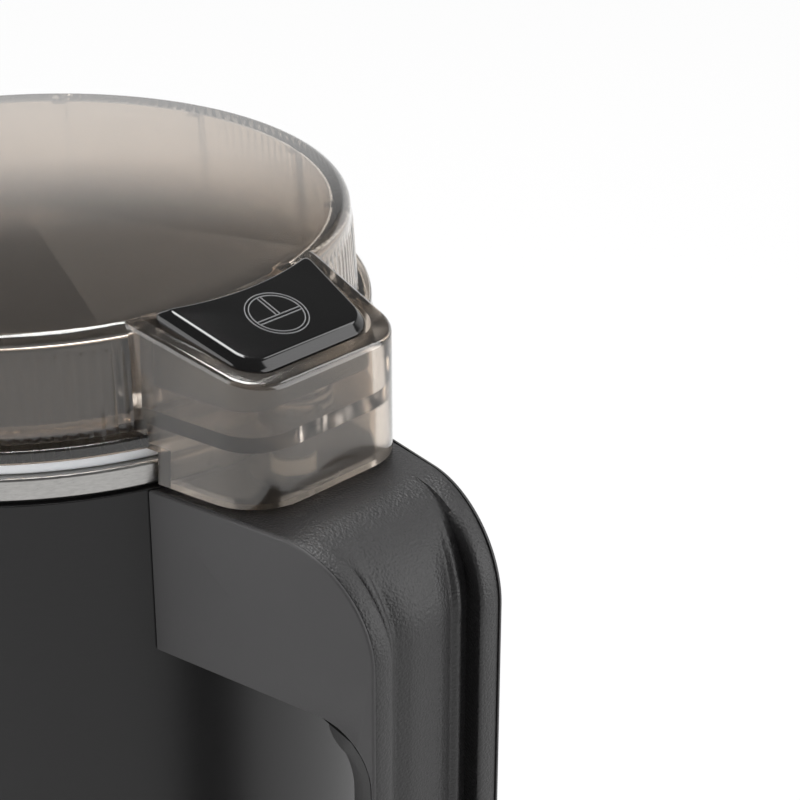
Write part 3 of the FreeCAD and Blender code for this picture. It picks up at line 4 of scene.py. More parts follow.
import bmesh
import bpy
from mathutils import Matrix, Vector
from mathutils.geometry import tessellate_polygon

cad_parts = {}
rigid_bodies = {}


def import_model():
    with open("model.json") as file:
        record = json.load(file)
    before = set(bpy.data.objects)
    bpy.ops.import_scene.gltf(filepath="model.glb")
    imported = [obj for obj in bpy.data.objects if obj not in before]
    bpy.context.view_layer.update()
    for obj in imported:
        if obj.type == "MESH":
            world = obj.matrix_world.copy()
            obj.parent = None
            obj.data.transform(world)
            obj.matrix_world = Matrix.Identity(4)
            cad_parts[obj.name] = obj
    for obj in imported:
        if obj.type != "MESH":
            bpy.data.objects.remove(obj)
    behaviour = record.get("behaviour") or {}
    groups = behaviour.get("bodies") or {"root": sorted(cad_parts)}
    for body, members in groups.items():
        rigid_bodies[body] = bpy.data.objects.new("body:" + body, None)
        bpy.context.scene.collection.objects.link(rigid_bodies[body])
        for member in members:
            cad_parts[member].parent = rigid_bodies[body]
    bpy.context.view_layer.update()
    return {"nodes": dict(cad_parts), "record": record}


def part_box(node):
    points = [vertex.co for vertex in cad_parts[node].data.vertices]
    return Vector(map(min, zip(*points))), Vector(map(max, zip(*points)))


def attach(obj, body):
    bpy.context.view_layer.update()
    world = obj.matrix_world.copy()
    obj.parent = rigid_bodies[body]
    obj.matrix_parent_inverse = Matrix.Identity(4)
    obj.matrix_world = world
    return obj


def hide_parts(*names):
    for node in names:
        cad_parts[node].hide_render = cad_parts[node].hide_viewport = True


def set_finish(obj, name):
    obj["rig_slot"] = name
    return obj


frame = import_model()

# Electric spice grinder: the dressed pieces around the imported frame.
# Metres, +Z up, handle towards +X.

MM = 0.001
TOUCH = 0.01 * MM

# Sizes read from the frame
lid_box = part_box("lid_shell")
rim_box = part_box("cup_rim")
sleeve_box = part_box("body_sleeve")
seal_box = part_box("lid_seal")
cup_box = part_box("steel_cup")
frame_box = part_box("handle_frame")
liner_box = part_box("handle_liner")
button_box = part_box("button_cap")
stem_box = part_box("button_stem")

lid_top = lid_box[1].z
boss_bottom = lid_box[0].z
flange_r = lid_box[1].y
flange_z = seal_box[1].z
rim_top = rim_box[1].z
sleeve_r = sleeve_box[1].y
handle_x = frame_box[1].x
handle_top = frame_box[1].z
handle_bottom = frame_box[0].z
grip_top = liner_box[1].z
grip_bottom = liner_box[0].z
stem_x = (stem_box[0].x + stem_box[1].x) / 2
stem_r = (stem_box[1].x - stem_box[0].x) / 2

# Lid
LID_R = 46.0 * MM
SKIRT_R = 46.87 * MM
FLANGE_TOP = flange_z + 1.9 * MM
FLANGE_ROUND = 0.4 * MM
SEAT_ROUND = 0.3 * MM
LID_EDGE = 1.4 * MM
LID_WALL = 2.5 * MM
LID_PLATE = 2.4 * MM
LID_INNER_ROUND = 0.6 * MM
SPIGOT_R = 42.6 * MM
SPIGOT_WALL = 2.0 * MM
SPIGOT_DROP = 4.3 * MM
SPIGOT_ROUND = 0.5 * MM
RIB_COUNT = 180
RIB_DEPTH = 0.2 * MM
RIB_STEPS = 6
RIB_SHARPNESS = 0.7
RIB_START = 2.2 * MM
RIB_FADE = 1.6 * MM
LUG_COUNT = 12
LUG_WIDTH = 2.4 * MM
LUG_DEPTH = 1.2 * MM
LUG_HEIGHT = 10.5 * MM
LUG_STEP = 0.1 * MM

# Boss and button, all from the lid's rim outwards
BOSS_ROOT_X = LID_R - 2.5 * MM
BOSS_ROOT_HALF = 16.0 * MM
BOSS_END_X = BOSS_ROOT_X + 19.3 * MM
BOSS_TAPER = math.tan(math.radians(9.6))
BOSS_SLOPE = math.tan(math.radians(11.6))
BOSS_DRAFT = math.tan(math.radians(2.3))
BOSS_ROUND = 5.4 * MM
BOSS_FOOT_ROUND = 8.5 * MM
BOSS_WALL = 2.2 * MM
BOSS_RIM_ROUND = 0.7 * MM
BOSS_RIM_DROP = 0.02 * MM
RING_ROOM = 0.9 * MM
STEM_ROOM = 0.06 * MM
SHELF_TOP = lid_top - 11.6 * MM
SHELF_BOTTOM = SHELF_TOP - 2.0 * MM
BUTTON_GAP = 0.45 * MM
BUTTON_END_GAP = 0.8 * MM
BUTTON_INNER_R = 46.2 * MM
BUTTON_TOP = lid_top + 1.4 * MM
BUTTON_SLOPE = math.tan(math.radians(16.7))
BUTTON_ROUND = 4.2 * MM
BUTTON_BITE = 1.6 * MM
BUTTON_FOOT_INSET = 0.2 * MM
BUTTON_FOOT_RISE = 0.3 * MM
# Inset and drop of each step of the bevelled edge, in millimetres
BUTTON_EDGE = ((0.0, 1.5), (0.04, 1.2), (0.14, 1.0), (0.35, 0.8), (0.9, 0.24), (1.02, 0.1), (1.2, 0.02), (1.5, 0.0))
WELL_ROUND = 4.6 * MM
SYMBOL_X = 52.9 * MM

# Handle
HANDLE_ROOT_HALF = 16.24 * MM
HANDLE_TAPER = math.tan(math.radians(8.25))
HANDLE_ROUND = 14.2 * MM
HANDLE_START_X = sleeve_r * 0.9
PANEL_EDGE = 0.28 * MM
COVER_INSET = 1.2 * MM
COVER_DEPTH = 3.6 * MM
LIP_INSET = 0.45 * MM
LIP_DEPTH = 0.8 * MM
SEAM = 0.05 * MM
BODY_GAP = 0.3 * MM
GRIP_STRIP = 0.4 * MM
OPENING_ROUND = 8.0 * MM
GROOVE_WALL = 9.5 * MM
GROOVE_DRIFT = 1.65 * MM
GROOVE_DEPTH = 1.15 * MM
RAIL_CROWN = 0.18 * MM
PAD_DEPTH = 2.1 * MM
BEAD_REACH = 1.15 * MM
# Lengths along the back over which its forms grow, from where the bend starts
GROOVE_START = 6 * MM
GROOVE_RUN = 12 * MM
PAD_START = -MM
PAD_RUN = 18 * MM
DRIFT_RUN = 24 * MM
CROWN_RUN = 14 * MM
LINER_REACH = 9.0 * MM
LINER_FILLET = 7.5 * MM
LINER_LAYER = 3.6 * MM
LINER_FLARE = 5.9 * MM
LINER_SWELL = MM
LINER_TURN = math.radians(13.5)

# Round pieces
SLEEVE_WALL = 0.8 * MM
SLEEVE_EDGE = 0.2 * MM
RIM_FOOT_ROUND = 0.4 * MM
RIM_TOP_ROUND = 0.45 * MM
SEAL_INSET = 0.8 * MM
SEAL_WIDTH = 2.6 * MM

# Light and camera
WHITE = (1, 1, 1, 1)
AMBIENT = 0.3
CEILING = 0.11
# Where the white wall that gloss sees ends: upwards, and sideways as Y less X
WALL_FADE = (math.sin(math.radians(18.5)), math.sin(math.radians(24)))
WALL_TURN = (-0.5, 0.4)
FLOOR_HALF = 4.0
FLOOR_GLOW = 0.92
LAMP_TARGET = (0.02, 0, 0.13)
# Name, place, width, height and watts
LAMPS = (
    ("left_box", (-0.35, -0.8, 0.5), 0.9, 0.9, 7),
    ("edge_box", (-0.6, -0.42, 0.72), 0.2, 0.2, 1.3),
    ("band_box", (0.32, 0.57, 0.76), 0.25, 0.4, 1.3),
    ("right_box", (0.8, 0.45, 0.35), 0.7, 0.9, 5.5),
    ("top_box", (-0.1, 0.15, 0.95), 0.25, 0.6, 6),
)
CAMERA_PLACE = (0.25265, -0.17928, lid_top + 0.1205)
CAMERA_ELEVATION = math.radians(26.4348)
CAMERA_AZIMUTH = math.radians(44.8)
CAMERA_LENS = 105.63


# Mesh helpers

def make(name, verts, faces, body, slot, replaced=(), smooth_angle=35):
    """An object from points and faces; one without a body is only a step towards another."""
    mesh = bpy.data.meshes.new(name)
    mesh.from_pydata([tuple(v) for v in verts], [], faces)
    mesh.validate()
    piece = bpy.data.objects.new(name, mesh)
    bpy.context.scene.collection.objects.link(piece)
    tidy(piece, smooth_angle)
    if body:
        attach(piece, body)
        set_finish(piece, slot)
    if replaced:
        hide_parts(*replaced)
    return piece


def tidy(piece, smooth_angle=35):
    """Joins doubled points, turns the faces outwards and sets smooth shading."""
    work = bmesh.new()
    work.from_mesh(piece.data)
    bmesh.ops.remove_doubles(work, verts=work.verts, dist=1e-7)
    bmesh.ops.recalc_face_normals(work, faces=work.faces)
    work.to_mesh(piece.data)
    work.free()
    for face in piece.data.polygons:
        face.use_smooth = True
    piece.data.set_sharp_from_angle(angle=math.radians(smooth_angle))


def rounded(corners, step=math.radians(12)):
    """A line of points through corners; a third value rounds a corner."""
    points = []
    for index, corner in enumerate(corners):
        spot = Vector(corner[:2])
        if len(corner) < 3:
            points.append(spot)
            continue
        before = (Vector(corners[index - 1][:2]) - spot).normalized()
        after = (Vector(corners[(index + 1) % len(corners)][:2]) - spot).normalized()
        half = before.angle(after) / 2
        centre = spot + (before + after).normalized() * corner[2] / math.sin(half)
        first = spot + before * corner[2] / math.tan(half) - centre
        last = spot + after * corner[2] / math.tan(half) - centre
        sweep = math.atan2(first.cross(last), first.dot(last))
        count = max(2, math.ceil(abs(sweep) / step))
        for part in range(count + 1):
            turn = Matrix.Rotation(sweep * part / count, 2)
            points.append(centre + turn @ first)
    return points


def lathe(name, corners, body, slot, replaced=(), segments=256, relief=None, smooth_angle=35):
    """Turns an outline of (radius, height) corners about Z; relief adds to the radius at an angle and a spot."""
    line = rounded(corners)
    verts = []
    rings = []
    for spot in line:
        if spot.x < 1e-9:
            rings.append([len(verts)])
            verts.append((0, 0, spot.y))
            continue
        ring = []
        for step in range(segments):
            angle = 2 * math.pi * step / segments
            radius = spot.x + (relief(angle, spot) if relief else 0)
            ring.append(len(verts))
            verts.append((radius * math.cos(angle), radius * math.sin(angle), spot.y))
        rings.append(ring)
    faces = []
    for index in range(len(rings)):
        low, high = rings[index - 1], rings[index]
        if len(low) == 1 and len(high) == 1:
            continue
        for step in range(segments):
            after = (step + 1) % segments
            if len(low) == 1:
                faces.append((low[0], high[after], high[step]))
            elif len(high) == 1:
                faces.append((low[step], low[after], high[0]))
            else:
                faces.append((low[step], low[after], high[after], high[step]))
    return make(name, verts, faces, body, slot, replaced, smooth_angle)


def stack(name, rows, body=None, slot=None, replaced=(), smooth_angle=35, folded=False, hollowed=False):
    """A closed solid through rows of equally many points.

    Folded ends are two flats that meet near the row's start, and hollowed ones are C-shaped in X and Z.
    """
    count = len(rows[0])
    verts = [spot for row in rows for spot in row]
    faces = []
    for level in range(len(rows) - 1):
        for index in range(count):
            after = (index + 1) % count
            start = level * count
            faces.append((start + index, start + after, start + count + after, start + count + index))
    low_end = list(range(count))
    high_end = list(range((len(rows) - 1) * count, len(rows) * count))
    for end in (low_end[::-1], high_end):
        if hollowed:
            flat = [Vector((verts[index][0], verts[index][2], 0)) for index in end]
            faces.extend(tuple(end[k] for k in corner) for corner in tessellate_polygon([flat]))
        elif folded:
            faces += [(end[0], end[1], end[-2], end[-1]), tuple(end[1:-1])]
        else:
            faces.append(tuple(end))
    return make(name, verts, faces, body, slot, replaced, smooth_angle)


def combine(piece, tool, operation):
    """Applies one boolean and drops the tool."""
    modifier = piece.modifiers.new("combine", "BOOLEAN")
    modifier.operation = operation
    modifier.solver = "EXACT"
    modifier.object = tool
    apply_modifiers(piece)
    bpy.data.objects.remove(tool)


def apply_modifiers(piece):
    """Keeps the mesh as its modifiers leave it."""
    bpy.context.view_layer.update()
    graph = bpy.context.evaluated_depsgraph_get()
    mesh = bpy.data.meshes.new_from_object(piece.evaluated_get(graph))
    piece.modifiers.clear()
    piece.data = mesh


def post(name, radius, low, high, x=0.0, segments=96):
    """A plain upright cylinder, used as a boolean tool."""
    rows = []
    for z in (low, high):
        rows.append([
            (x + radius * math.cos(2 * math.pi * step / segments),
             radius * math.sin(2 * math.pi * step / segments), z)
            for step in range(segments)
        ])
    return stack(name, rows)


def smooth_step(value):
    """0 to 1 with a gentle start and end."""
    value = min(1.0, max(0.0, value))
    return value * value * (3 - 2 * value)


# Lid

def boss_half(x, inset):
    """Half the boss's width at one reach."""
    return BOSS_ROOT_HALF - (x - BOSS_ROOT_X) * BOSS_TAPER - inset


def boss_plan(start, inset, radius):
    """The boss from above, as an open line round its outer end."""
    end = BOSS_END_X - inset
    return rounded([
        (start, -boss_half(start, inset)),
        (BOSS_ROOT_X, -boss_half(BOSS_ROOT_X, inset)),
        (end, -boss_half(end, inset), radius),
        (end, boss_half(end, inset), radius),
        (BOSS_ROOT_X, boss_half(BOSS_ROOT_X, inset)),
        (start, boss_half(start, inset)),
    ], math.radians(6))


def boss_rim(x):
    """Height of the boss's sloping rim at one reach, a hair under the lid's top at its root."""
    return lid_top - BOSS_RIM_DROP - max(0.0, x - BOSS_ROOT_X) * BOSS_SLOPE


def boss_row(start, inset, height, round_top, round_foot):
    """One ring of the boss, wider and rounder towards its foot; height is a number or goes with the reach."""
    drop = lid_top - boss_bottom
    top = boss_plan(start, inset, max(round_top - inset, MM))
    foot = top
    if round_foot:
        foot = boss_plan(start, inset - drop * BOSS_DRAFT, max(round_foot - inset, MM))
    row = []
    for high, low in zip(top, foot):
        spot = high
        for _ in range(3):
            z = height(spot.x) if callable(height) else height
            spot = high.lerp(low, (lid_top - z) / drop)
        row.append((spot.x, spot.y, z))
    return row


def boss_solid(name, start, inset, low, high, rim_round=0.0, rounds=(BOSS_ROUND, BOSS_FOOT_ROUND)):
    """A solid with the boss's plan, from the height low to high, which is a number or goes with the reach."""
    top = high if callable(high) else (lambda x: high)
    rows = []
    for share in (0, 0.25, 0.5, 0.75):
        rows.append(boss_row(start, inset, lambda x, s=share: low + (top(x) - MM - low) * s, *rounds))
    steps = 5 if rim_round else 1
    for step in range(steps):
        turn = math.radians(90 * step / 4) if rim_round else math.pi / 2
        shrink = rim_round * (1 - math.cos(turn))
        drop = rim_round * (1 - math.sin(turn))
        rows.append(boss_row(start, inset + shrink, lambda x, d=drop: top(x) - d, *rounds))
    return stack(name, rows, folded=True)


def make_lid():
    """The turned lid, with the boss joined on and the button's well and the chamber under it cut out."""
    inner_r = LID_R - LID_WALL
    inner_foot_r = SKIRT_R - LID_WALL
    plate_bottom = lid_top - LID_PLATE
    spigot_bottom = flange_z - SPIGOT_DROP
    rib_top = lid_top - RIB_START
    lug_bottom = plate_bottom - LUG_HEIGHT
    lug_turn = 2 * math.pi / LUG_COUNT
    lug_half = LUG_WIDTH / 2 / inner_r

    def relief(angle, spot):
        """Ribs on the outside of the skirt, lugs on its inside."""
        on_skirt = LID_R - TOUCH < spot.x < SKIRT_R + TOUCH
        if on_skirt and FLANGE_TOP < spot.y <= rib_top:
            fade = smooth_step((rib_top - spot.y) / RIB_FADE)
            return RIB_DEPTH * fade * (0.5 + 0.5 * math.cos(angle * RIB_COUNT)) ** RIB_SHARPNESS
        if SPIGOT_R - SPIGOT_WALL < spot.x < inner_foot_r and lug_bottom <= spot.y < plate_bottom - LUG_STEP:
            place = angle % lug_turn - lug_turn / 2
            return -LUG_DEPTH if abs(place) < lug_half else 0.0
        return 0.0

    def skirt(z, inset=0.0):
        """A point of the leaning skirt at one height."""
        share = (lid_top - z) / (lid_top - FLANGE_TOP)
        return (LID_R + (SKIRT_R - LID_R) * share - inset, z)

    levels = [rib_top - RIB_FADE * step / 4 for step in range(5)] + [FLANGE_TOP + 0.3 * MM]
    lid = lathe("lid", [
        (0, lid_top),
        (LID_R, lid_top, LID_EDGE),
        *[skirt(z) for z in levels],
        (SKIRT_R, FLANGE_TOP),
        (flange_r, FLANGE_TOP, FLANGE_ROUND),
        (flange_r, flange_z, SEAT_ROUND),
        (SPIGOT_R, flange_z),
        (SPIGOT_R, spigot_bottom, SPIGOT_ROUND),
        (SPIGOT_R - SPIGOT_WALL, spigot_bottom, SPIGOT_ROUND),
        (SPIGOT_R - SPIGOT_WALL, FLANGE_TOP, LID_INNER_ROUND),
        (inner_foot_r, FLANGE_TOP),
        skirt(lug_bottom - LUG_STEP, LID_WALL),
        skirt(lug_bottom + LUG_STEP, LID_WALL),
        (inner_r, plate_bottom, LID_INNER_ROUND),
        (0, plate_bottom),
    ], "lid", "smoky_clear", ["lid_shell"], RIB_COUNT * RIB_STEPS, relief)
    start = BOSS_ROOT_X - 2 * LID_WALL
    boss = boss_solid("boss", start, 0, boss_bottom, boss_rim, BOSS_RIM_ROUND)
    combine(boss, post("boss_inner", inner_r, boss_bottom - MM, plate_bottom), "DIFFERENCE")
    combine(boss, post("ring_room", sleeve_r + RING_ROOM, boss_bottom - MM, flange_z), "DIFFERENCE")
    combine(lid, boss, "UNION")
    well_r = BUTTON_INNER_R - BUTTON_GAP
    well_rounds = (WELL_ROUND + BOSS_WALL, None)
    well = boss_solid("well", start, BOSS_WALL, SHELF_TOP, lid_top + 5 * MM, rounds=well_rounds)
    combine(well, post("well_inner", well_r, SHELF_TOP - MM, lid_top + 6 * MM, segments=256), "DIFFERENCE")
    combine(lid, well, "DIFFERENCE")
    chamber = boss_solid("chamber", start, BOSS_WALL, boss_bottom - MM, SHELF_BOTTOM)
    combine(chamber, post("chamber_inner", SKIRT_R, boss_bottom - 2 * MM, SHELF_BOTTOM + MM), "DIFFERENCE")
    combine(lid, chamber, "DIFFERENCE")
    stem_room = post("stem_room", stem_r + STEM_ROOM, SHELF_BOTTOM - MM, SHELF_TOP + MM, stem_x, 48)
    combine(lid, stem_room, "DIFFERENCE")
    tidy(lid, 30)


# Button

def button_row(inset, height):
    """One ring of the button cap: an inner arc, two tapering sides and a rounded outer end."""
    inner_r = BUTTON_INNER_R + inset
    side_inset = BOSS_WALL + BUTTON_GAP + inset
    end = BOSS_END_X - BOSS_WALL - BUTTON_END_GAP - inset
    corner_x = inner_r
    for _ in range(6):
        corner_x = math.sqrt(inner_r ** 2 - boss_half(corner_x, side_inset) ** 2)
    corner_y = boss_half(corner_x, side_inset)
    spread = math.atan2(corner_y, corner_x)
    bite = max(BUTTON_BITE - inset * 0.4, BUTTON_BITE / 2)
    trim = bite / inner_r
    arc = [Vector((inner_r * math.cos(a), inner_r * math.sin(a)))
           for a in [(spread - trim) * (1 - 2 * step / 24) for step in range(25)]]
    corner = Vector((corner_x, corner_y))
    along = Vector((1, -BOSS_TAPER)).normalized() * bite
    radius = max(BUTTON_ROUND - inset, MM)
    outer = rounded([
        (corner_x, -corner_y),
        (end, -boss_half(end, side_inset), radius),
        (end, boss_half(end, side_inset), radius),
        (corner_x, corner_y),
    ], math.radians(7))[1:-1]

    def bend(first, middle, last):
        """Points of a curve that softens a corner."""
        spots = []
        for step in range(1, 8):
            part = step / 8
            spots.append(first * (1 - part) ** 2 + middle * 2 * part * (1 - part) + last * part ** 2)
        return spots

    low_corner = Vector((corner_x, -corner_y))
    low_start = low_corner + Vector((along.x, -along.y))
    high_start = corner + along
    path = arc + bend(arc[-1], low_corner, low_start) + [low_start] + outer + [high_start]
    path += bend(high_start, corner, arc[0])
    return [(spot.x, spot.y, height(spot.x) if callable(height) else height) for spot in path]


def button_plane(x):
    """Height of the button's sloping face at one reach."""
    return BUTTON_TOP - (x - BUTTON_INNER_R) * BUTTON_SLOPE


def make_button():
    """The cap with its bevelled edge, and the sign on it."""
    bottom = button_box[0].z
    rows = [button_row(BUTTON_FOOT_INSET, bottom), button_row(0, bottom + BUTTON_FOOT_RISE)]
    for inset, drop in BUTTON_EDGE:
        rows.append(button_row(inset * MM, lambda x, d=drop: button_plane(x) - d * MM))
    stack("button", rows, "button", "button_black", ["button_cap"], 40)
    make_symbol()


def make_symbol():
    """A raised circle with a bar across and a short stem in double lines, a plain sign for a push switch."""
    half, foot, height = 0.1 * MM, -0.06 * MM, 0.1 * MM
    outer_r, inner_r = 4.12 * MM, 3.62 * MM
    bar = (0.3 * MM, 0.85 * MM)
    stem = (-0.28 * MM, 0.28 * MM)
    tilt = Matrix.Rotation(math.atan(BUTTON_SLOPE), 4, "Y")
    place = Matrix.Translation((SYMBOL_X, 0, button_plane(SYMBOL_X))) @ tilt
    section = [(-half, foot), (-half * 0.5, height), (half * 0.5, height), (half, foot)]
    points = 96
    verts = []
    faces = []

    def tube(rows, closed):
        """A line of four-sided sections, closed to a ring or capped at its ends."""
        first = len(verts)
        verts.extend(place @ spot for row in rows for spot in row)
        count = len(rows)
        for step in range(count if closed else count - 1):
            after = (step + 1) % count
            here, there = first + step * 4, first + after * 4
            for k in range(4):
                n = (k + 1) % 4
                faces.append((here + k, there + k, there + n, here + n))
        if not closed:
            faces.append(tuple(first + k for k in range(4)))
            faces.append(tuple(first + (count - 1) * 4 + k for k in range(4)))

    for radius in (outer_r, inner_r):
        rows = []
        for step in range(points):
            angle = 2 * math.pi * step / points
            ray = Vector((math.cos(angle), math.sin(angle), 0))
            rows.append([ray * (radius + r) + Vector((0, 0, z)) for r, z in section])
        tube(rows, True)
    bar_half = math.sqrt(inner_r ** 2 - max(bar) ** 2)
    strokes = [((x, -bar_half), (x, bar_half)) for x in bar]
    strokes += [((bar[0], y), (-inner_r, y)) for y in stem]
    for start, end in strokes:
        start, end = Vector(start), Vector(end)
        side = (end - start).normalized().orthogonal()
        rows = [[Vector((*(spot + side * r), z)) for r, z in section] for spot in (start, end)]
        tube(rows, False)
    # Its light grey look is a painted highlight: the lines stand in for the light that the edges of an engraved
    # sign catch.
    make("button_symbol", verts, faces, "button", "white_plastic")


# Handle

def handle_half(x):
    """Half the handle's width at one reach."""
    return HANDLE_ROOT_HALF - (x - sleeve_r) * HANDLE_TAPER


def d_line(inset):
    """The D of the handle seen from the side, from the body over the top and back."""
    radius = HANDLE_ROUND - inset
    return rounded([
        (HANDLE_START_X, handle_top - inset),
        (handle_x - inset, handle_top - inset, radius),
        (handle_x - inset, handle_bottom + inset, radius),
        (HANDLE_START_X, handle_bottom + inset),
    ], math.radians(3))


def opening_line(inset):
    """The finger opening seen from the side, from its foot over the grip and back."""
    end_x = handle_x - GRIP_STRIP + inset
    radius = OPENING_ROUND + inset
    return rounded([
        (HANDLE_START_X, grip_bottom - inset),
        (end_x, grip_bottom - inset, radius),
        (end_x, grip_top + inset, radius),
        (HANDLE_START_X, grip_top + inset),
    ], math.radians(5))


def wrap(x, y, radius):
    """Keeps a point outside the round body."""
    return max(x, math.sqrt(max(radius ** 2 - y ** 2, 0)))


def meet_body(x, y, gap):
    """Moves a point at the handle's start onto the body, with a gap."""
    return wrap(x, y, sleeve_r + gap) if x <= HANDLE_START_X + 1e-6 else x


def side_panel(name, side):
    """One flank of the handle, a skin with softened edges."""
    levels = []
    for step in range(5):
        turn = math.radians(90 * step / 4)
        shrink, sink = PANEL_EDGE * (1 - math.sin(turn)), PANEL_EDGE * (1 - math.cos(turn))
        levels.append((shrink, shrink * 0.3, sink))
    levels.append((0.0, 0.0, LIP_INSET))
    rows = []
    for outer, inner, sink in levels:
        row = []
        for spot in d_line(outer) + opening_line(inner):
            y = side * (handle_half(spot.x) - sink)
            row.append((meet_body(spot.x, y, BODY_GAP), y, spot.y))
        rows.append(row)
    return stack(name, rows, hollowed=True)


def make_frame():
    """Two side panels with the brackets between them, as one piece."""
    parts = [side_panel(f"panel{side}", side) for side in (-1, 1)]
    inset = COVER_DEPTH + SEAM
    end_x = handle_x - inset
    radius = HANDLE_ROUND - inset
    for outer_z, inner_z in ((handle_top - inset, grip_top), (handle_bottom + inset, grip_bottom)):
        line = rounded([
            (HANDLE_START_X, outer_z), (end_x, outer_z, radius), (end_x, inner_z), (HANDLE_START_X, inner_z),
        ], math.radians(6))
        rows = []
        for step in range(9):
            share = -1 + 2 * step / 8
            row = []
            for spot in line:
                y = share * (handle_half(spot.x) - LIP_INSET)
                row.append((meet_body(spot.x, y, SEAM), y, spot.y))
            rows.append(row)
        parts.append(stack("bracket", rows))
    join("handle_sides", parts, "base", "handle_plastic", ["handle_frame"])


def join(name, parts, body, slot, replaced):
    """Puts several closed solids into one object."""
    work = bmesh.new()
    for part in parts:
        work.from_mesh(part.data)
    mesh = bpy.data.meshes.new(name)
    work.to_mesh(mesh)
    work.free()
    for part in parts:
        bpy.data.objects.remove(part)
    piece = bpy.data.objects.new(name, mesh)
    bpy.context.scene.collection.objects.link(piece)
    tidy(piece)
    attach(piece, body)
    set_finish(piece, slot)
    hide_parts(*replaced)


def cover_path():
    """Spots and outward directions along the back of the D, with the length from the nearer bend's start."""
    start_x = sleeve_r + MM
    straight_end = handle_x - HANDLE_ROUND
    high_z = handle_top - HANDLE_ROUND
    low_z = handle_bottom + HANDLE_ROUND
    top = []
    for x in [HANDLE_START_X] + [start_x + (straight_end - start_x) * step / 14 for step in range(14)]:
        top.append((Vector((x, handle_top)), Vector((0, 1)), x - straight_end))
    for step in range(49):
        angle = math.radians(90 * step / 48)
        normal = Vector((math.sin(angle), math.cos(angle)))
        top.append((Vector((straight_end, high_z)) + normal * HANDLE_ROUND, normal, HANDLE_ROUND * angle))
    middle = []
    bend = HANDLE_ROUND * math.pi / 2
    for step in range(1, 48):
        z = high_z + (low_z - high_z) * step / 48
        middle.append((Vector((handle_x, z)), Vector((1, 0)), bend + min(high_z - z, z - low_z)))
    mirror = handle_top + handle_bottom
    bottom = [(Vector((spot.x, mirror - spot.y)), Vector((normal.x, -normal.y)), length)
              for spot, normal, length in reversed(top)]
    return top + middle + bottom


def make_cover():
    """The pebbled back: two crowned rails, two deep grooves, a thin bead by each and a sunken pad."""
    path = cover_path()
    rows = []
    for index, (spot, normal, length) in enumerate(path):
        half = handle_half(spot.x) - LIP_INSET - SEAM
        opened = smooth_step((length - GROOVE_START) / GROOVE_RUN)
        settled = smooth_step((length - PAD_START) / PAD_RUN)
        narrowed = smooth_step(length / DRIFT_RUN)
        wall = GROOVE_WALL - GROOVE_DRIFT * narrowed
        middle = (wall + half) / 2
        reach = (half - wall) / 2
        crown = RAIL_CROWN * smooth_step(length / CROWN_RUN)
        pad = PAD_DEPTH * settled
        slot_depth = pad + GROOVE_DEPTH * opened
        undercut = (1.1 * opened - 0.55) * settled * MM

        def arch(w, drop, middle=middle, reach=reach, crown=crown):
            """A point of the crowned rail."""
            return (w, drop + crown * ((w - middle) / reach) ** 2)

        bead = wall - BEAD_REACH
        # Reach and depth, from the rail's outer edge over the groove and the bead to the middle of the pad
        half_row = [
            arch(half, 0.16 * MM),
            arch(half - 0.02 * MM, 0.09 * MM),
            arch(half - 0.08 * MM, 0.03 * MM),
            arch(half - 0.25 * MM, 0.0),
            *[arch(middle + reach * share, 0.0) for share in (0.45, 0.2, -0.1, -0.4)],
            arch(wall + 0.45 * MM, 0.0),
            arch(wall + 0.16 * MM, 0.06 * MM * opened),
            arch(wall + 0.04 * MM, 0.2 * MM * opened),
            arch(wall, 0.4 * MM * opened),
            (wall + undercut * 0.6, crown + (slot_depth - crown) * 0.55),
            (wall + undercut, slot_depth),
            (wall - 0.9 * MM, slot_depth + 0.02 * MM * opened),
            (bead, pad + 0.45 * MM * opened),
            (bead - 0.3 * MM, pad + 0.14 * MM * opened),
            (bead - 0.7 * MM, pad + 0.1 * MM * opened),
            (bead - 1.1 * MM, pad + 0.22 * MM * opened),
            (bead - 1.35 * MM, pad + 0.65 * MM * opened),
            (bead - 1.6 * MM, pad + 0.72 * MM * opened),
            (bead - 2.1 * MM, pad + 0.56 * MM * opened),
            (bead - 2.8 * MM, pad + 0.3 * MM * opened),
            (bead - 3.7 * MM, pad + 0.1 * MM * opened),
            (bead * 0.4, pad),
            (bead * 0.15, pad - 0.04 * MM * opened),
        ]
        row = half_row + [(-w, depth) for w, depth in reversed(half_row)]
        body_half = half + LIP_INSET - COVER_INSET
        row += [
            (-half, LIP_DEPTH), (-body_half, LIP_DEPTH), (-body_half, COVER_DEPTH),
            (0.0, COVER_DEPTH),
            (body_half, COVER_DEPTH), (body_half, LIP_DEPTH), (half, LIP_DEPTH),
        ]
        points = []
        for w, depth in row:
            place = spot - normal * depth
            x = wrap(place.x, w, sleeve_r + BODY_GAP) if index in (0, len(path) - 1) else place.x
            points.append((x, w, place.y))
        rows.append(points)
    stack("handle_back", rows, "base", "cover_plastic", ["handle_cover"], 50)


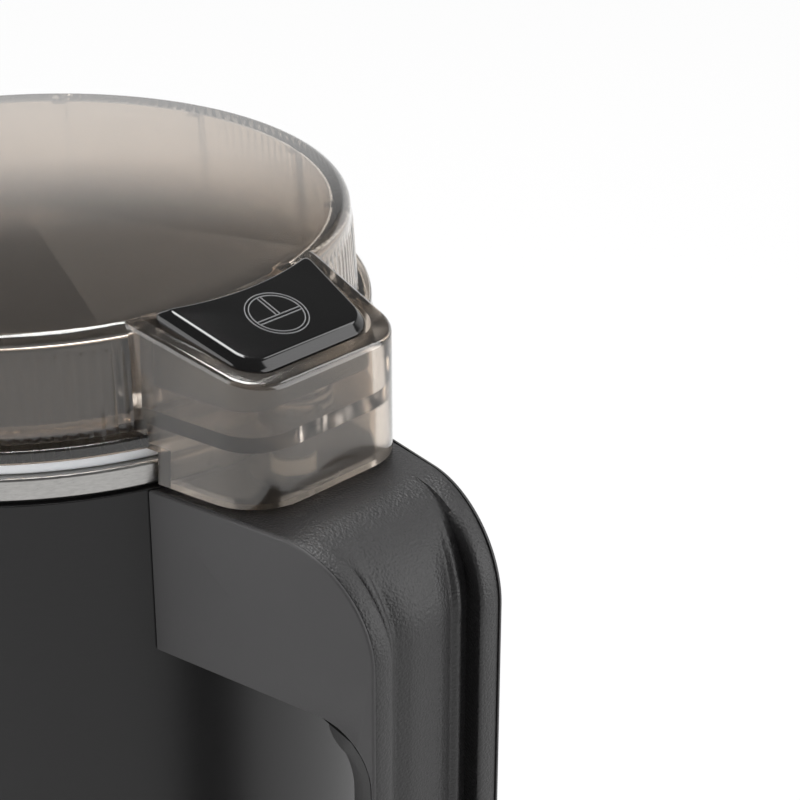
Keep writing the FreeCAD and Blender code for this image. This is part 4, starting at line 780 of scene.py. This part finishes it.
def make_liner():
    """The rounded inner side of the grip, flaring into a layer under each bracket."""
    centre_x = handle_x - GRIP_STRIP - SEAM
    base_half = handle_half(handle_x)
    ends = [(0.0, LINER_FLARE), (LINER_LAYER * 0.5, LINER_FLARE), (LINER_LAYER * 0.9, LINER_FLARE - 0.02 * MM)]
    for step in range(16):
        turn = LINER_TURN + (math.pi / 2 - LINER_TURN) * step / 15
        ends.append((LINER_LAYER + LINER_FILLET * (1 - math.cos(turn)), LINER_FILLET * (1 - math.sin(turn))))
    levels = [(grip_bottom + drop, grow) for drop, grow in ends]
    first, last = levels[-1][0], grip_top - ends[-1][0]
    levels += [(first + (last - first) * step / 20, 0.0) for step in range(1, 20)]
    levels += [(grip_top - drop, grow) for drop, grow in reversed(ends)]
    lip_x = handle_x - LIP_DEPTH - SEAM * 2
    body_x = handle_x - COVER_DEPTH - SEAM * 2
    lip_half = base_half - LIP_INSET
    body_half = base_half - COVER_INSET
    back = [(lip_x, lip_half), (lip_x, body_half), (body_x, body_half),
            (body_x, -body_half), (lip_x, -body_half), (lip_x, -lip_half)]
    rows = []
    for z, grow in levels:
        half = base_half + LINER_SWELL * grow / LINER_FLARE
        near_end = min(z - grip_bottom, grip_top - z)
        limit_x = centre_x
        if near_end < OPENING_ROUND:
            rise = OPENING_ROUND - near_end
            limit_x = centre_x - OPENING_ROUND + math.sqrt(max(OPENING_ROUND ** 2 - rise ** 2, 0))
        row = []
        for step in range(37):
            angle = math.radians(-90 + 180 * step / 36)
            x = min(centre_x - (LINER_REACH + grow) * math.cos(angle), limit_x)
            limit = handle_half(x)
            row.append((x, max(-limit, min(limit, half * math.sin(angle))), z))
        row += [(min(x, limit_x), y, z) for x, y in back]
        rows.append(row)
    stack("grip_liner", rows, "base", "rubber", ["handle_liner"], 60)


# Round pieces

def make_round_pieces():
    """The sleeve, the cup's rim and the seal."""
    low, high = sleeve_box
    inner = sleeve_r - SLEEVE_WALL
    lathe("sleeve", [
        (inner, low.z), (sleeve_r, low.z, SLEEVE_EDGE), (sleeve_r, high.z, SLEEVE_EDGE), (inner, high.z),
    ], "base", "body_coating", ["body_sleeve"])
    rim_r = rim_box[1].y
    cup_r = cup_box[1].y
    rim_bottom = rim_box[0].z
    lathe("rim", [
        (cup_r, rim_bottom), (rim_r, rim_bottom, RIM_FOOT_ROUND), (rim_r, rim_top, RIM_TOP_ROUND), (cup_r, rim_top),
    ], "bowl", "steel", ["cup_rim"])
    seal_r = flange_r - SEAL_INSET
    seal_inner_r = seal_box[1].y - SEAL_WIDTH
    lathe("seal", [
        (seal_inner_r, rim_top), (seal_r, rim_top, FLANGE_ROUND), (seal_r, flange_z, SEAT_ROUND),
        (seal_inner_r, flange_z),
    ], "lid", "seal", ["lid_seal"])


make_lid()
make_button()
make_frame()
make_cover()
make_liner()
make_round_pieces()


# Materials

def material(name):
    """A new material with its nodes, links and shader."""
    made = bpy.data.materials.new(name)
    made.use_nodes = True
    return made, made.node_tree.nodes, made.node_tree.links, made.node_tree.nodes["Principled BSDF"]


def add(nodes, kind, **values):
    """A new node with its inputs or settings."""
    item = nodes.new(kind)
    for key, value in values.items():
        if key in item.inputs:
            item.inputs[key].default_value = value
        else:
            setattr(item, key, value)
    return item


def calculate(nodes, links, operation, *values):
    """A math node; each value is a number or an output."""
    item = add(nodes, "ShaderNodeMath", operation=operation)
    for socket, value in zip(item.inputs, values):
        if isinstance(value, (int, float)):
            socket.default_value = value
        else:
            links.new(value, socket)
    return item.outputs[0]


def mix_shaders(nodes, links, factor, first, second):
    """A blend of two shaders."""
    item = add(nodes, "ShaderNodeMixShader")
    for socket, value in zip(item.inputs, (factor, first, second)):
        links.new(value, socket)
    return item.outputs[0]


def noise(nodes, links, scale, detail=2.0, vector=None):
    """Noise over the object's own coordinates, or over a given vector."""
    item = add(nodes, "ShaderNodeTexNoise", Scale=scale, Detail=detail)
    if vector is None:
        vector = add(nodes, "ShaderNodeTexCoord").outputs["Object"]
    links.new(vector, item.inputs["Vector"])
    return item.outputs["Fac"]


def ramp(nodes, links, factor, low, high, start=0.0, end=1.0):
    """A value from low to high while the factor goes from start to end."""
    limits = {"From Min": start, "From Max": end, "To Min": low, "To Max": high}
    item = add(nodes, "ShaderNodeMapRange", **limits)
    links.new(factor, item.inputs["Value"])
    return item.outputs["Result"]


def tint(nodes, links, factor, low, high):
    """A colour between two."""
    item = add(nodes, "ShaderNodeMix", data_type="RGBA")
    first, second = [socket for socket in item.inputs if socket.type == "RGBA"]
    first.default_value = (*low, 1)
    second.default_value = (*high, 1)
    links.new(factor, item.inputs["Factor"])
    return [socket for socket in item.outputs if socket.type == "RGBA"][0]


def bump(nodes, links, shader, height, distance, strength=1.0):
    """Roughens the shader's surface by a height."""
    item = add(nodes, "ShaderNodeBump", Strength=strength, Distance=distance)
    links.new(height, item.inputs["Height"])
    links.new(item.outputs["Normal"], shader.inputs["Normal"])


def around_axis(nodes, links, along, across):
    """Coordinates that run round the body: stretched along the turn, fine across it."""
    spot = add(nodes, "ShaderNodeTexCoord").outputs["Object"]
    split = add(nodes, "ShaderNodeSeparateXYZ")
    links.new(spot, split.inputs[0])
    turn = calculate(nodes, links, "ARCTAN2", split.outputs["Y"], split.outputs["X"])
    length = add(nodes, "ShaderNodeVectorMath", operation="LENGTH")
    flat = add(nodes, "ShaderNodeCombineXYZ")
    links.new(split.outputs["X"], flat.inputs["X"])
    links.new(split.outputs["Y"], flat.inputs["Y"])
    links.new(flat.outputs[0], length.inputs[0])
    joined = add(nodes, "ShaderNodeCombineXYZ")
    sources = (turn, length.outputs["Value"], split.outputs["Z"])
    for source, socket, factor in zip(sources, joined.inputs, (along, across, across)):
        links.new(calculate(nodes, links, "MULTIPLY", source, factor), socket)
    return joined.outputs[0]


def plastic(name, dark, light, roughness, grain=2500, depth=0.02 * MM, coat=0.0, specular=0.5):
    """Moulded plastic with a fine grain and slight unevenness in colour and gloss."""
    made, nodes, links, shader = material(name)
    wide = noise(nodes, links, 60, 3)
    links.new(tint(nodes, links, wide, dark, light), shader.inputs["Base Color"])
    links.new(ramp(nodes, links, wide, roughness - 0.04, roughness + 0.04), shader.inputs["Roughness"])
    shader.inputs["Coat Weight"].default_value = coat
    shader.inputs["Specular IOR Level"].default_value = specular
    bump(nodes, links, shader, noise(nodes, links, grain, 2), depth)
    return made


def pebbled(name, dark, light, roughness):
    """A leather-like pebble grain, with slight unevenness in colour and gloss."""
    made, nodes, links, shader = material(name)
    spot = add(nodes, "ShaderNodeTexCoord").outputs["Object"]
    cells = add(nodes, "ShaderNodeTexVoronoi", Scale=2700.0, feature="SMOOTH_F1", Smoothness=0.6)
    links.new(spot, cells.inputs["Vector"])
    fine = noise(nodes, links, 5200, 2)
    wide = noise(nodes, links, 80, 3)
    links.new(tint(nodes, links, wide, dark, light), shader.inputs["Base Color"])
    links.new(ramp(nodes, links, fine, roughness - 0.08, roughness + 0.1), shader.inputs["Roughness"])
    mixed = calculate(nodes, links, "MULTIPLY_ADD", fine, -0.5, cells.outputs["Distance"])
    bump(nodes, links, shader, mixed, 0.09 * MM, 0.8)
    return made


def brushed(name, dark, light, roughness, metallic, depth, across=9000, along=14, specular=0.5):
    """Metal or a metallic coat with fine lines that run round the body."""
    made, nodes, links, shader = material(name)
    lines = noise(nodes, links, 1.0, 3, around_axis(nodes, links, along, across))
    links.new(tint(nodes, links, lines, dark, light), shader.inputs["Base Color"])
    links.new(ramp(nodes, links, lines, roughness - 0.08, roughness + 0.1), shader.inputs["Roughness"])
    shader.inputs["Metallic"].default_value = metallic
    shader.inputs["Specular IOR Level"].default_value = specular
    bump(nodes, links, shader, lines, depth, 0.6)
    return made


def clear(name, dark, light, roughness, through):
    """Tinted, slightly milky clear plastic under a smooth skin, with faint flow marks."""
    made, nodes, links, shader = material(name)
    flow = noise(nodes, links, 45, 2)
    links.new(tint(nodes, links, flow, dark, light), shader.inputs["Base Color"])
    shader.inputs["Transmission Weight"].default_value = through
    shader.inputs["IOR"].default_value = 1.49
    shader.inputs["Coat Weight"].default_value = 0.7
    shader.inputs["Coat Roughness"].default_value = 0.03
    links.new(ramp(nodes, links, noise(nodes, links, 120, 2), roughness * 0.8, roughness * 1.2),
              shader.inputs["Roughness"])
    bump(nodes, links, shader, flow, 0.05 * MM, 0.3)
    return made


def metal(name, dark, light, roughness, scale=900):
    """Plain metal with a faint grain."""
    made, nodes, links, shader = material(name)
    grain = noise(nodes, links, scale, 3)
    links.new(tint(nodes, links, grain, dark, light), shader.inputs["Base Color"])
    links.new(ramp(nodes, links, grain, roughness - 0.05, roughness + 0.08), shader.inputs["Roughness"])
    shader.inputs["Metallic"].default_value = 1.0
    bump(nodes, links, shader, grain, 0.01 * MM)
    return made


# One look for each material slot
looks = {
    "rubber": plastic("rubber", (0.018, 0.018, 0.018), (0.026, 0.025, 0.025), 0.6, 1800, 0.03 * MM),
    "seal": plastic("seal", (0.86, 0.89, 0.92), (0.92, 0.94, 0.96), 0.35, 900, 0.01 * MM),
    "base_plastic": plastic("base_plastic", (0.014, 0.014, 0.014), (0.02, 0.0195, 0.0195), 0.42),
    "handle_plastic": plastic("handle_plastic", (0.038, 0.037, 0.038), (0.048, 0.047, 0.048), 0.5,
                              3200, 0.015 * MM, specular=0.35),
    "cover_plastic": pebbled("cover_plastic", (0.011, 0.0105, 0.011), (0.017, 0.0165, 0.017), 0.44),
    "body_coating": brushed("body_coating", (0.006, 0.0056, 0.006), (0.011, 0.0105, 0.011), 0.36,
                            0.0, 0.012 * MM, specular=0.38),
    "housing_plastic": plastic("housing_plastic", (0.05, 0.05, 0.05), (0.07, 0.07, 0.07), 0.5),
    "steel": brushed("steel", (0.3, 0.295, 0.285), (0.5, 0.49, 0.475), 0.3, 1.0, 0.015 * MM, 5000, 60),
    "fastener": metal("fastener", (0.45, 0.45, 0.44), (0.6, 0.6, 0.6), 0.32),
    "aluminium": metal("aluminium", (0.55, 0.56, 0.57), (0.66, 0.67, 0.68), 0.42, 500),
    "laminations": metal("laminations", (0.16, 0.155, 0.15), (0.24, 0.235, 0.23), 0.5, 700),
    "copper": metal("copper", (0.5, 0.2, 0.09), (0.68, 0.32, 0.16), 0.35, 1200),
    "bronze": metal("bronze", (0.5, 0.34, 0.16), (0.62, 0.44, 0.22), 0.4, 900),
    "carbon": plastic("carbon", (0.02, 0.02, 0.02), (0.04, 0.04, 0.04), 0.6),
    "white_plastic": plastic("white_plastic", (0.68, 0.67, 0.63), (0.75, 0.74, 0.7), 0.45),
    "smoky_clear": clear("smoky_clear", (0.68, 0.595, 0.51), (0.74, 0.655, 0.57), 0.13, 0.985),
    "button_black": plastic("button_black", (0.005, 0.005, 0.005), (0.008, 0.008, 0.008), 0.1,
                            300, 0.003 * MM, coat=0.05),
}

# Looks of single pieces, before their slot's
own_looks = {
    # Painted highlight: the sign's light grey lines stand in for the light that the edges of an engraved sign
    # catch.
    "button_symbol": plastic("symbol_painted_highlight", (0.12, 0.12, 0.125), (0.22, 0.22, 0.225), 0.4, 4000, 0.01 * MM),
    # Painted shade: the cup is a darker, warmer copy of the steel, for the shadowed inside of the cup under the
    # lid.
    "steel_cup": brushed("cup_steel_painted_shade", (0.1, 0.092, 0.08), (0.2, 0.185, 0.165), 0.36, 1.0, 0.015 * MM, 5000, 40),
    # Painted shade: the stem, its clip and the spring are darker copies of their slots' looks, so that they catch
    # no glints inside the boss.
    "button_stem": plastic("stem_painted_shade", (0.06, 0.06, 0.06), (0.08, 0.08, 0.08), 0.5,
                           1500, 0.01 * MM, specular=0.2),
    "stem_clip": plastic("clip_painted_shade", (0.06, 0.06, 0.06), (0.08, 0.08, 0.08), 0.5,
                         1500, 0.01 * MM, specular=0.2),
    "button_spring": metal("spring_painted_shade", (0.2, 0.2, 0.2), (0.3, 0.3, 0.3), 0.5),
}


def dress():
    """Gives every node and every piece its look."""
    slots = {row["node"]: row["material_slot"] for row in frame["record"]["subparts"]}
    for name, item in frame["nodes"].items():
        set_look(item, slots[name])
    for item in list(bpy.context.scene.objects):
        if item.type == "MESH" and "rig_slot" in item:
            set_look(item, item["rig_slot"])


def set_look(item, slot):
    """One look, the piece's own or its slot's."""
    item.data.materials.clear()
    item.data.materials.append(own_looks.get(item.name, looks[slot]))


dress()


# Floor, light and camera

def make_floor():
    """A plain pale floor that looks nearly white and still takes the shadow."""
    half = FLOOR_HALF
    rows = [(-half, -half, 0), (half, -half, 0), (half, half, 0), (-half, half, 0)]
    mesh = bpy.data.meshes.new("floor")
    mesh.from_pydata(rows, [], [(0, 1, 2, 3)])
    floor = bpy.data.objects.new("floor", mesh)
    bpy.context.scene.collection.objects.link(floor)
    made, nodes, links, shader = material("floor")
    shader.inputs["Base Color"].default_value = (0.85, 0.85, 0.85, 1)
    shader.inputs["Roughness"].default_value = 0.7
    white = add(nodes, "ShaderNodeEmission", Color=WHITE, Strength=1.0)
    path = add(nodes, "ShaderNodeLightPath").outputs
    seen = calculate(nodes, links, "MAXIMUM", path["Is Camera Ray"], path["Is Glossy Ray"])
    seen = calculate(nodes, links, "MAXIMUM", seen, path["Is Transmission Ray"])
    share = calculate(nodes, links, "MULTIPLY", seen, FLOOR_GLOW)
    blend = mix_shaders(nodes, links, share, shader.outputs[0], white.outputs[0])
    links.new(blend, nodes["Material Output"].inputs["Surface"])
    mesh.materials.append(made)


def make_world():
    """White behind the object; gloss sees a white wall low down that fades to a dim ceiling."""
    world = bpy.data.worlds.new("studio")
    bpy.context.scene.world = world
    world.use_nodes = True
    nodes, links = world.node_tree.nodes, world.node_tree.links
    soft = nodes["Background"]
    soft.inputs["Color"].default_value = WHITE
    soft.inputs["Strength"].default_value = AMBIENT
    white = add(nodes, "ShaderNodeBackground", Color=WHITE, Strength=1.0)
    wall = add(nodes, "ShaderNodeBackground", Color=WHITE)
    split = add(nodes, "ShaderNodeSeparateXYZ")
    links.new(add(nodes, "ShaderNodeTexCoord").outputs["Generated"], split.inputs[0])
    low = ramp(nodes, links, split.outputs["Z"], 1.0, 0.0, *WALL_FADE)
    behind = calculate(nodes, links, "SUBTRACT", split.outputs["Y"], split.outputs["X"])
    side = ramp(nodes, links, behind, 0.0, 1.0, *WALL_TURN)
    both = calculate(nodes, links, "MULTIPLY", low, side)
    links.new(ramp(nodes, links, both, CEILING, 1.0), wall.inputs["Strength"])
    path = add(nodes, "ShaderNodeLightPath").outputs
    bent = calculate(nodes, links, "MAXIMUM", path["Is Glossy Ray"], path["Is Transmission Ray"])
    gloss = mix_shaders(nodes, links, bent, soft.outputs[0], wall.outputs[0])
    blend = mix_shaders(nodes, links, path["Is Camera Ray"], gloss, white.outputs[0])
    links.new(blend, nodes["World Output"].inputs["Surface"])


def lamp(name, place, width, height, watts):
    """A soft box that points at the object."""
    light = bpy.data.lights.new(name, "AREA")
    light.shape = "RECTANGLE"
    light.size = width
    light.size_y = height
    light.energy = watts
    item = bpy.data.objects.new(name, light)
    bpy.context.scene.collection.objects.link(item)
    item.location = place
    item.rotation_euler = (Vector(LAMP_TARGET) - Vector(place)).to_track_quat("-Z", "Y").to_euler()


def make_camera():
    """The photograph's view, solved from the round lid."""
    camera = bpy.data.cameras.new("camera")
    camera.lens = CAMERA_LENS
    camera.sensor_width = 36.0
    camera.clip_start = 0.01
    item = bpy.data.objects.new("camera", camera)
    bpy.context.scene.collection.objects.link(item)
    item.location = CAMERA_PLACE
    item.rotation_euler = (math.pi / 2 - CAMERA_ELEVATION, 0, CAMERA_AZIMUTH)
    bpy.context.scene.camera = item


make_floor()
make_world()
for settings in LAMPS:
    lamp(*settings)
make_camera()
bpy.context.scene.view_settings.view_transform = "Standard"
